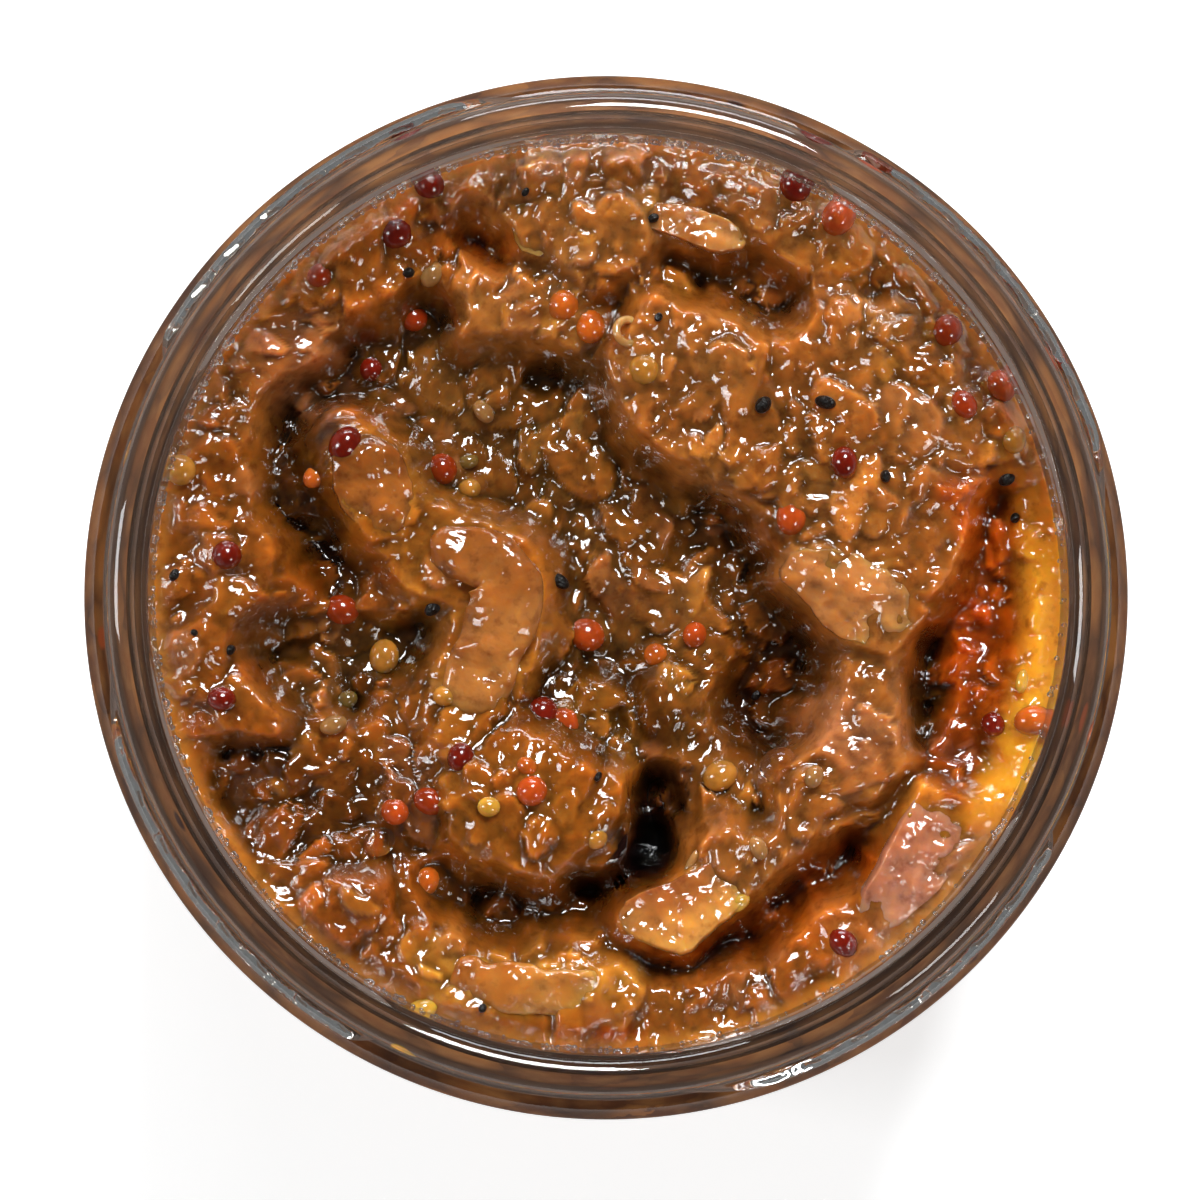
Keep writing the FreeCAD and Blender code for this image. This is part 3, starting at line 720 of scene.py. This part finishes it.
for reach in (3, 2, 2, 1):
    cliff = smooth((np.hypot(*np.gradient(blurred(height, 2))) * per_mm - 0.8) / 0.8)
    height = height + (blurred(height, reach) - height) * cliff
soft = np.dstack([blurred(colour[..., i], 2) for i in range(3)])
colour = colour + (soft - colour) * cliff[..., None]
r_share = np.hypot(net_x, net_y) / bore_radius
inside_share = smooth((1.0 - r_share) / 0.05)
height = height + (0.10 * net_noise(0.9, 31, 2) + 0.055 * net_noise(0.45, 34)) * (
    0.3 + 0.7 * inside_share)
at_glass = 0.25 * net_noise(5, 41, 2) + 0.35 * np.clip(net_noise(1.1, 43, 2), 0, 1)
height = height * smooth((1.01 - r_share) / 0.06) + at_glass * (1 - smooth((1.01 - r_share) / 0.06))

# painted light and shade: raised places lighter, hollows, syrup-filled creases and deep places darker, and
# the whole top darker towards the lower left and a little lighter towards the upper right; the noise and
# drift are the food's own uneven tone
broad = height - blurred_mm(height, 2.2)
near = height - blurred_mm(height, 0.6)
shade = np.clip(1 + 0.20 * broad, 0.62, 1.5) * np.clip(1 + 1.5 * near, 0.5, 1.7)
shade *= (0.93 - 0.4 * blurred(wetted, 1)) * (1 - 0.16 * net_noise(1.9, 92, 3))
shade *= 1 - 0.42 * smooth((-2.5 - height) / 4.5)
across = (net_x + net_y) / 25
shade *= 1 + 0.10 * smooth(across) - 0.24 * smooth(-across)
drift = net_noise(3.6, 91, 3)[..., None] * np.array([0.02, 0.10, 0.22])
colour = colour * shade[..., None] * (1 + drift) * np.array([1, 0.97, 0.88])

# a golden film of oil on the glass at the right, and a paler line where the confit meets the glass
film = smooth((r_share - 0.89) / 0.07) * smooth((net_x - 12) / 8) * smooth((9 - net_y) / 8)
film = (film * smooth((net_y + 16) / 4))[..., None]
colour += (FOOD["film"] - colour) * film
rim_tone = smooth((r_share - 0.965) / 0.03)[..., None] * 0.5 * (1 - film)
colour += (FOOD["gold"] * 0.8 - colour) * rim_tone
print("relief", height.min().round(2), height.max().round(2), "mean colour", colour.mean((0, 1)).round(3))

# %% [markdown]
# The confit fills the jar, so its sides and bottom follow the inside of the glass and reach a
# tenth of a millimetre into it. Nothing shows as an air gap there.

# %% Close the confit into one solid
def net_border(count):
    """Indices round the edge of a square net."""
    index = np.arange((count + 1) ** 2).reshape(count + 1, count + 1)
    return np.concatenate([index[:-1, 0], index[-1, :-1], index[:0:-1, -1], index[0, :0:-1]])


def close_confit(material):
    """The relief on top, rings of points down the glass from its border, and the bottom."""
    index = np.arange(net_x.size).reshape(net_x.shape)
    points = np.stack([net_x, net_y, height + fill_level], -1).reshape(-1, 3)
    quads = np.stack([index[:-1, :-1], index[1:, :-1], index[1:, 1:], index[:-1, 1:]], -1).reshape(-1, 4)
    border = net_border(NET)
    bearing = np.arctan2(points[border, 1], points[border, 0])
    first_ring, rest_below = fill_level - 2.4, fill_level - 3.0
    side = [p for p in cavity_outline(confit_reach, 4) if p[1] < rest_below]
    side = [(bore_radius + confit_reach, first_ring)] + side[:-1]
    rings, ring = [points], border
    faces, base = [quads], len(points)
    for r, z in side:
        rings.append(np.stack([r * np.cos(bearing), r * np.sin(bearing), np.full(len(border), z)], -1))
        new = base + np.arange(len(border))
        faces.append(np.stack([ring, np.roll(ring, -1), np.roll(new, -1), new], -1)[:, ::-1])
        ring, base = new, base + len(border)
    rings.append(np.array([[0, 0, base_thickness + push_up - confit_reach]]))
    cap = np.stack([ring, np.roll(ring, -1), np.full(len(ring), base)], -1)[:, ::-1]
    points = np.concatenate(rings) * MM
    piece = new_object("confit_fill", points, [q for f in faces for q in f.tolist()] + cap.tolist(), material)
    below = np.tile(FOOD["amber"], (len(points) - net_x.size, 1))
    paint(piece, np.concatenate([colour.reshape(-1, 3), below]))
    return piece


def food_material(name):
    """Wet, translucent food in the piece's own colours, mottled, under a skin of syrup."""
    g = Graph(name)
    base = g.node("Attribute", {"attribute_name": "food_colour"})
    mottle = g.noise(900.0, 3.0, 0.6)
    base = g.mix(mottle.clamp(0.4, 0.7) * 0.5, base, (0.85, 0.6, 0.3), "SOFT_LIGHT")
    base = g.mix(mottle.clamp(0.45, 0.3) * 0.5, base, (0.4, 0.2, 0.08), "MULTIPLY")
    skin = g.bump(g.noise(800.0), 0.0004, 0.5)
    skin = g.bump(g.noise(3000.0, 1.0), 0.00006, 0.5, skin)
    return g.principled(
        Base_Color=base, Roughness=0.07, IOR=1.42, Normal=skin,
        Subsurface_Weight=0.85, Subsurface_Radius=(1.0, 0.45, 0.16), Subsurface_Scale=0.0022,
        Coat_Weight=1.0, Coat_Roughness=0.03, Coat_IOR=1.48)


def side_material(name):
    """Confit pressed against glass: chopped onion with syrup between, a seed here and there, and a painted
    grey band near the top.
    """
    g = Graph(name)

    def cells(scale, reach):
        """Distance from each cell's middle, and a number of the cell's own."""
        inputs = {"Vector": g.warped(reach), "Scale": scale}
        away, own = [g.node("TexVoronoi", {"feature": "F1"}, inputs, out) for out in (0, 1)]
        return away, g.node("SeparateColor", {}, {"Color": own})

    away, tone = cells(250.0, 0.002)
    side = g.mix(tone, srgb(120, 62, 20), srgb(190, 117, 50))
    side = g.mix(g.noise(600.0, 3.0).clamp(0.4, 0.7) * 0.5, side, srgb(196, 136, 76))
    side = g.mix(away.clamp(0.4, 0.8) * 0.75, side, srgb(66, 30, 8))
    away, kind = cells(130.0, 0.0)
    seed = g.mix(kind.clamp(0.45, 0.55), srgb(64, 22, 8), srgb(186, 84, 28))
    side = g.mix(away.clamp(0.14, 0.11), side, seed)
    # painted shade: the side turns grey near the top, so that the glass round the mouth looks dark grey from
    # above
    up = g.node("SeparateXYZ", {}, {"Vector": g.place()}, out=2)
    side = g.mix(up.clamp(0.058, 0.066) * 0.75, side, srgb(112, 98, 90))
    return g.principled(Base_Color=side, Roughness=0.6, IOR=1.4)


confit = close_confit(food_material("onion confit"))
confit.data.materials.append(side_material("confit at the glass"))
on_side = np.zeros(len(confit.data.polygons), int)
on_side[NET**2 :] = 1
confit.data.polygons.foreach_set("material_index", on_side)
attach(confit, "root")
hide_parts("confit")
triangles = sum(len(p.vertices) - 2 for p in confit.data.polygons)
print("confit has", triangles, "triangles,", len(confit.data.vertices) - net_x.size, "points below its top")

# %% [markdown]
# ## The larger pieces of onion
# A layer piece is a stack of rings: its outline is swung round its middle, spread over the top,
# turned over at the rim and closed below.

# %% Layer pieces
def level_at(x, y):
    """Height of the finished relief at a place over the mouth."""
    return float(height.ravel()[nearest_crossing(x, y)])


def tipped(points, middle, tilt, bearing):
    """Points turned by tilt degrees about a level line through the middle."""
    axis = Vector((math.cos(math.radians(bearing)), math.sin(math.radians(bearing)), 0))
    turn = np.array(Matrix.Rotation(math.radians(tilt), 3, axis))
    return (points - middle) @ turn.T + middle


def layer_piece(outline, level, bend, thickness, tilt, bearing, seed, around=128, rings=26):
    """Points and faces of a piece of onion layer inside a closed outline, in millimetres."""
    ring = np.array(outline, float)
    middle = ring.mean(0)
    after = np.roll(ring, -1, axis=0)
    ring = np.stack([0.8 * ring + 0.2 * after, 0.2 * ring + 0.8 * after], 1).reshape(-1, 2)
    ring = np.concatenate([ring, ring[:1]]) - middle
    run = np.concatenate([[0], np.cumsum(np.hypot(*np.diff(ring, axis=0).T))])
    step = np.linspace(0, run[-1], around, endpoint=False)
    ring = np.stack([np.interp(step, run, ring[:, 0]), np.interp(step, run, ring[:, 1])], -1)
    if np.sum(ring[:, 0] * np.roll(ring[:, 1], -1) - ring[:, 1] * np.roll(ring[:, 0], -1)) < 0:
        ring = ring[::-1]
    rag = noise(ring[:, 0], ring[:, 1], 0.9, seed + 3, 2)
    ring = ring * (1 + 0.025 * rag)[:, None]
    profile = [(f, 0.5) for f in np.linspace(0, 1, rings)[1:] ** 0.8 * 0.94]
    profile += [(0.94 + 0.06 * math.sin(t), 0.5 * math.cos(t)) for t in np.linspace(0.3, math.pi - 0.3, 8)]
    profile += [(f, -0.5) for f in np.linspace(1, 0, rings)[:-1] * 0.94]
    points = [(0.0, 0.0, 0.5 * thickness)]
    for share, side in profile:
        points += [(share * x, share * y, side * thickness) for x, y in ring]
    points.append((0.0, 0.0, -0.5 * thickness))
    points = np.array(points)
    away = np.hypot(points[:, 0], points[:, 1])
    points[:, 2] += np.sqrt(bend**2 - np.minimum(away, bend * 0.95) ** 2) - bend - 0.5 * thickness
    points[:, :2] += middle
    u, v = points[:, 0], points[:, 1]
    points[:, 2] += 0.28 * noise(u, v, 2.2, seed, 2) + 0.14 * noise(u, v, 0.9, seed + 5, 2)
    points[:, 2] += level + fill_level
    points = tipped(points, np.array([*middle, level + fill_level]), tilt, bearing)
    return points, capped_faces(len(profile), around)


onion_material = food_material("onion layer")


def seat_piece(name, points, faces, spine, tints, seed):
    """Adds a piece, veined along its length and coloured from one end to the other."""
    piece = new_object(name + "_piece", points * MM, faces, onion_material)
    start, end = np.array(spine[0]), np.array(spine[-1])
    length = np.hypot(*(end - start))
    along = (points[:, :2] - start) @ (end - start) / length
    across = (points[:, :2] - start) @ np.array([start[1] - end[1], end[0] - start[0]]) / length
    share = smooth(along / length + 0.25 * noise(along, across, 2.0, seed, 2))[:, None]
    veins = noise(along / 7, across, 0.45, seed + 1, 2)
    clouds = noise(along, across, 1.4, seed + 2, 2)
    colours = np.array(tints[0]) * (1 - share) + np.array(tints[1]) * share
    paint(piece, colours * (1 + 0.14 * veins + 0.2 * clouds)[:, None])
    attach(piece, "root")
    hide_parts(name)


for number, (name, (*form, first, last)) in enumerate(LAYERS.items()):
    points, faces = layer_piece(*form, 300 + 11 * number)
    outline = form[0]
    seat_piece(name, points, faces, (outline[0], outline[len(outline) // 2]), (first, last), 400 + number)
print(len(LAYERS), "layer pieces")


# %% [markdown]
# A strip is a section carried along a smooth line. The section is a rounded box, cupped across, and
# it narrows at both ends, where the knife went through.

# %% Strips
def bent_band(spine, levels, widths, thickness, cup, lean, seed, steps=64, around=40):
    """Points and faces of a band of onion layer along a smooth spine, in millimetres."""
    knots = np.linspace(0, 1, len(spine))
    t = np.linspace(0, 1, steps)
    path = np.stack([np.polyval(np.polyfit(knots, c, len(spine) - 1), t) for c in (*zip(*spine), levels)], -1)
    along = np.gradient(path, axis=0)
    along /= np.linalg.norm(along, axis=1, keepdims=True)
    across = np.cross([0, 0, 1.0], along)
    across /= np.linalg.norm(across, axis=1, keepdims=True)
    up = np.cross(along, across)
    c, s = math.cos(math.radians(lean)), math.sin(math.radians(lean))
    across, up = across * c + up * s, up * c - across * s
    start, middle, end = widths
    width = start * (1 - t) ** 2 + 2 * middle * t * (1 - t) + end * t**2
    blunt = (1 - np.abs(2 * t - 1) ** 9) ** 0.5
    a = np.linspace(0, 2 * math.pi, around, endpoint=False)
    ca = np.sign(np.cos(a)) * np.abs(np.cos(a)) ** 0.5
    sa = np.sign(np.sin(a)) * np.abs(np.sin(a)) ** 0.7
    points = []
    for k in range(steps):
        ragged = 1 + 0.05 * math.sin(15 * t[k] + seed) + 0.04 * math.sin(31 * t[k] + 2 * seed)
        half = width[k] / 2 * ca * ragged * (0.6 + 0.4 * blunt[k])
        lift = thickness / 2 * sa * max(blunt[k], 0.3) - cup * ca**2
        points.append(path[k] + across[k] * half[:, None] + up[k] * lift[:, None])
    points = np.concatenate(points)
    points[:, 2] += 0.34 * noise(points[:, 0], points[:, 1], 1.7, 60 + int(seed), 3)
    points[:, :2] += 0.22 * noise(points[:, 0], points[:, 1], 2.3, 64 + int(seed), 2)[:, None]
    points[:, 2] += fill_level
    sides = [(j, (j + 1) % around) for j in range(around)]
    faces = [(low + j, low + after, low + around + after, low + around + j)
             for low in range(0, (steps - 1) * around, around) for j, after in sides]
    faces.append(tuple(range(around))[::-1])
    faces.append(tuple((steps - 1) * around + j for j in range(around)))
    return points, faces


for number, (name, (*form, first, last)) in enumerate(STRIPS.items()):
    points, faces = bent_band(*form, number + 1)
    seat_piece(name, points, faces, form[0], (first, last), 420 + number)
print(len(STRIPS), "strips")

# %% [markdown]
# ## Mustard seeds and black specks
# Each seed is an oval ball, half sunk in the syrup that was drawn up round it, in colours from
# yellow through orange to dark red. One mesh holds all the seeds of a colour.

# %% Seeds
def ball(center, radius, stretch, turn, rows=10, columns=16):
    """A slightly oval ball: its points and faces."""
    points = [(0, 0, 1.0)]
    for i in range(1, rows):
        polar = math.pi * i / rows
        for j in range(columns):
            a = 2 * math.pi * j / columns
            points.append((math.sin(polar) * math.cos(a), math.sin(polar) * math.sin(a), math.cos(polar)))
    points.append((0, 0, -1.0))
    points = np.array(points) * [radius * stretch, radius, radius * 0.95]
    c, s = math.cos(turn), math.sin(turn)
    points = points @ np.array([[c, s, 0], [-s, c, 0], [0, 0, 1]]) + center
    return points, capped_faces(rows - 1, columns)


def many_balls(name, places, material, rows=10, columns=16):
    """One mesh of balls, each (x, y, z, radius, stretch, turn) in millimetres."""
    all_points, all_faces, base = [], [], 0
    for x, y, z, radius, stretch, turn in places:
        points, faces = ball(np.array([x, y, z]), radius, stretch, turn, rows, columns)
        all_points.append(points)
        all_faces += [tuple(v + base for v in f) for f in faces]
        base += len(points)
    piece = new_object(name, np.concatenate(all_points) * MM, all_faces, material)
    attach(piece, "root")
    return piece


def seed_material(name, tint):
    """A wet seed's skin, mottled darker."""
    g = Graph(name)
    base = g.mix(g.noise(750.0, 3.0).clamp(0.35, 0.65) * 0.7, tint, tint * 0.4)
    return g.principled(
        Base_Color=base, Roughness=0.14, Normal=g.bump(g.noise(2200.0), 0.00008, 0.5),
        Subsurface_Weight=0.7, Subsurface_Radius=(1.0, 0.3, 0.1), Subsurface_Scale=0.0012,
        Coat_Weight=1.0, Coat_Roughness=0.04)


rng = np.random.RandomState(21)
for name, (tint, places) in SEEDS.items():
    balls = []
    for x, y, size in places:
        radius = 0.98 * size
        seat = max(seed_level[(x, y)], level_at(x, y) - seed_rise * size)
        balls.append((x, y, fill_level + seat + radius * rng.uniform(-0.3, 0.2), radius,
                      rng.uniform(1.0, 1.28), rng.uniform(0, math.pi)))
    many_balls(name, balls, seed_material(name.replace("_", " "), tint))
SPECKS = [(-3.0, 0.9, 1), (-11.1, -0.8, 1), (9.8, 11.95, 1.1), (13.7, 12.1, 1), (25.3, 7.3, 0.9),
          (25.9, 4.9, 0.7), (17.5, 7.45, 0.8), (2.9, 23.8, 0.7), (3.2, 17.5, 0.6), (-5.2, 25.4, 0.5),
          (-27.4, 1.25, 0.7), (-12.6, 20.4, 0.8), (-23.9, -3.5, 0.7), (-26.1, -2.4, 0.5),
          (-7.65, -2.4, 0.5), (-0.6, -11.5, 0.5), (-7.9, -26.1, 0.6), (9.6, -6.4, 0.6)]
black = Graph("black seed")
black_material = black.principled(
    Base_Color=(0.008, 0.006, 0.005), Roughness=0.3, Specular_IOR_Level=0.3,
    Normal=black.bump(black.noise(1800.0, 3.0), 0.0005))
many_balls("specks_black", [
    (x, y, fill_level + level_at(x, y) + 0.15, 0.42 * size, rng.uniform(1.1, 1.7), rng.uniform(0, math.pi))
    for x, y, size in SPECKS], black_material)
print(sum(len(places) for _, places in SEEDS.values()), "seeds and", len(SPECKS), "specks")

# %% [markdown]
# Crumbs of onion lie on top, too small to be pieces of their own: oval balls again, in the seeds'
# wet skin. One is a slice through a thin shoot, which is a torus, tipped and half sunk.

# %% Crumbs and a cut ring
# x, y, radius, stretch, turn
CRUMBS = {
    "crumbs_tan": (srgb(182, 130, 72), [
        (-17.4, -8.25, 0.62, 1.5, 0.3), (-11.2, 20.4, 0.7, 1.3, 1.0), (-7.9, 11.8, 0.6, 1.4, 2.2),
        (9.5, -16.0, 0.55, 1.5, 2.0), (5.3, -17.0, 0.28, 3.6, 1.1), (13.0, -11.5, 0.6, 1.3, 1.2)]),
    "crumbs_olive": (srgb(128, 100, 44), [(-16.7, -6.7, 0.6, 1.3, 0.5), (-8.9, 8.6, 0.5, 1.4, 0.2)]),
    "crumbs_yellow": (srgb(236, 176, 60), [
        (-7.5, -13.4, 0.65, 1.15, 0.0), (8.3, -19.5, 0.5, 1.6, 0.6), (26.2, -5.5, 0.4, 2.0, 1.4),
        (-11.7, -26.2, 0.65, 1.5, 0.2)]),
}
for name, (tint, places) in CRUMBS.items():
    many_balls(name, [(x, y, fill_level + level_at(x, y) + 0.25 * radius, radius, stretch, turn)
                      for x, y, radius, stretch, turn in places], seed_material(name.replace("_", " "), tint))
bpy.ops.object.select_all(action="DESELECT")
bpy.ops.mesh.primitive_torus_add(major_radius=0.8 * MM, minor_radius=0.27 * MM,
                                 major_segments=28, minor_segments=12)
bpy.ops.object.shade_smooth()
ring = bpy.context.object
ring.name = "ring_pale"
ring_x, ring_y = 1.3, 16.6
place = Matrix.Translation(Vector((ring_x, ring_y, fill_level + level_at(ring_x, ring_y) - 0.15)) * MM)
ring.data.transform(place @ Matrix.Rotation(math.radians(24), 4, Vector((-0.6, 0.8, 0))))
ring.data.materials.append(seed_material("ring pale", srgb(214, 160, 90)))
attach(ring, "root")
print(sum(len(places) for _, places in CRUMBS.values()), "crumbs and one ring, half sunk")

# %% [markdown]
# ## What clings to the glass
# Above the confit the glass carries small clear beads of syrup, thickest where the spoon passed,
# and two larger drops lie on the food. Each is a ball of a few dozen faces in one shared mesh.

# %% Beads on the glass
clear = Graph("clear syrup")
clear_material = clear.principled(
    Base_Color=(0.9, 0.84, 0.78), Roughness=0.08, IOR=1.40, Transmission_Weight=1.0,
    Normal=clear.bump(clear.noise(2500.0), 0.00008, 0.5))
rng = np.random.RandomState(77)
bead_count = 700
clinging = []
while len(clinging) < bead_count:
    bearing = math.radians(rng.uniform(0, 360))
    thick = 0.25 + 0.5 * max(math.sin(bearing - 0.2), 0) + 0.4 * max(-math.cos(bearing - 0.6), 0)
    if rng.uniform() > thick:
        continue
    radius = rng.uniform(0.05, 0.15) * (1.6 if rng.uniform() < 0.1 else 1.0)
    out = bore_radius - 0.3 * radius
    rise = 0.5 + 4.6 * rng.uniform() ** 1.6
    clinging.append((out * math.cos(bearing), out * math.sin(bearing), fill_level + rise, radius,
                     rng.uniform(1.0, 1.6), rng.uniform(0, math.pi)))
many_balls("beads_on_glass", clinging, clear_material, rows=6, columns=9)
DROPS = [(-14.5, -15.7, 0.9), (10.8, -10.8, 1.1)]
many_balls("drops_of_syrup", [(x, y, fill_level + level_at(x, y) + 0.1, radius, 1.2, 0.6)
                              for x, y, radius in DROPS], clear_material)
print(len(clinging), "beads")

# %% [markdown]
# ## Floor, light and camera
# The jar stands on a pale floor under soft light: a key lamp, a broad low window behind it and two
# weak lamps at the sides. Glass takes its look from what is round it, so it is given something dark:
# a round card lies on the floor, dark under the jar and pale at its edge, as black card is laid
# beside glassware in a studio. Only glass and gloss see it, so the floor stays white.

# %% Stage
bpy.ops.object.select_all(action="DESELECT")
bpy.ops.mesh.primitive_plane_add(size=6.0, location=(0, 0, 0))
floor = bpy.context.active_object
floor.name = "floor"
pale = (0.9, 0.9, 0.9)
floor.data.materials.append(Graph("floor").principled(
    Base_Color=pale, Roughness=0.8, Specular_IOR_Level=0.0, Emission_Color=pale, Emission_Strength=0.72))

glow = Graph("dark card")
from_middle = glow.node("VectorMath", {"operation": "LENGTH"}, {0: glow.place()}, out=1)
dark_until, pale_from = 0.09, 0.42
dark_to_pale = glow.mix(from_middle.clamp(dark_until, pale_from), (0.21, 0.165, 0.145), (0.95, 0.94, 0.93))
card_radius, card_lift = 0.6, 0.0006
bpy.ops.mesh.primitive_circle_add(
    vertices=64, radius=card_radius, fill_type="NGON", location=(0, 0, card_lift))
card = bpy.context.active_object
card.name = "card_floor"
card.data.materials.append(glow.principled(
    Base_Color=(0, 0, 0), Roughness=1.0, Specular_IOR_Level=0.0, Emission_Color=dark_to_pale,
    Emission_Strength=1.0))
card.visible_camera = card.visible_diffuse = card.visible_shadow = False


def area(name, place, aim, size, power, tint):
    """A rectangular lamp turned to what it lights."""
    lamp = bpy.data.lights.new(name, "AREA")
    lamp.shape = "RECTANGLE"
    lamp.size, lamp.size_y = size
    lamp.energy = power
    lamp.color = tint
    made = bpy.data.objects.new(name, lamp)
    bpy.context.scene.collection.objects.link(made)
    made.location = place
    made.rotation_euler = (Vector(aim) - Vector(place)).to_track_quat("-Z", "Y").to_euler()
    return made


mouth = (0, 0, jar_height * MM)
lights = [
    area("key", (0.12, 0.62, 0.86), mouth, (0.28, 0.28), 10.5, (0.95, 0.98, 1.0)),
    area("window", (0.05, 1.0, 0.33), mouth, (0.7, 0.16), 4.0, (0.92, 0.97, 1.0)),
    area("side", (-0.75, 0.05, 0.65), mouth, (0.2, 0.3), 2.2, (0.95, 0.98, 1.0)),
    area("back", (0.6, -0.6, 0.8), mouth, (0.25, 0.25), 1.8, (1.0, 0.98, 0.95)),
]

# outputs of the Light Path node: camera and glass see a white room, while the food sees a dim one
RAYS = {"camera": 0, "diffuse": 2, "transmission": 6, "glossy depth": 11}
dim, on_food, in_glass = 0.03, 0.08, 0.12
world = bpy.data.worlds.new("studio")
bpy.context.scene.world = world
sky = Graph("sky", world)
ray = {name: sky.node("LightPath", out=number) for name, number in RAYS.items()}
direct = (1 - ray["glossy depth"].clamp(0.4, 0.6)) * ray["transmission"]
white = direct.math("MAXIMUM", ray["camera"], direct)
strength = dim + ray["diffuse"] * on_food + ray["transmission"] * in_glass + white
background = sky.node("Background", {}, {"Color": (1, 1, 1), "Strength": strength})
sky.node("OutputWorld", {}, {"Surface": background})

camera_data = bpy.data.cameras.new("camera")
camera = bpy.data.objects.new("camera", camera_data)
bpy.context.scene.collection.objects.link(camera)
# almost straight above the mouth, a little off the axis
camera_height = 350.0
aim = Vector((-0.53, -0.43, jar_height)) * MM
camera.location = Vector((-3.0, -5.4, jar_height + camera_height)) * MM
back = (camera.location - aim).normalized()
right = Vector((0, 1, 0)).cross(back).normalized()
camera.matrix_world = Matrix.Translation(camera.location) @ Matrix(
    (right, back.cross(right), back)).transposed().to_4x4()
camera_data.lens = 169.1
camera_data.sensor_width = 36.0
camera_data.clip_start = 0.01
bpy.context.scene.camera = camera

bpy.context.scene.view_settings.view_transform = "Standard"
print("stage set")
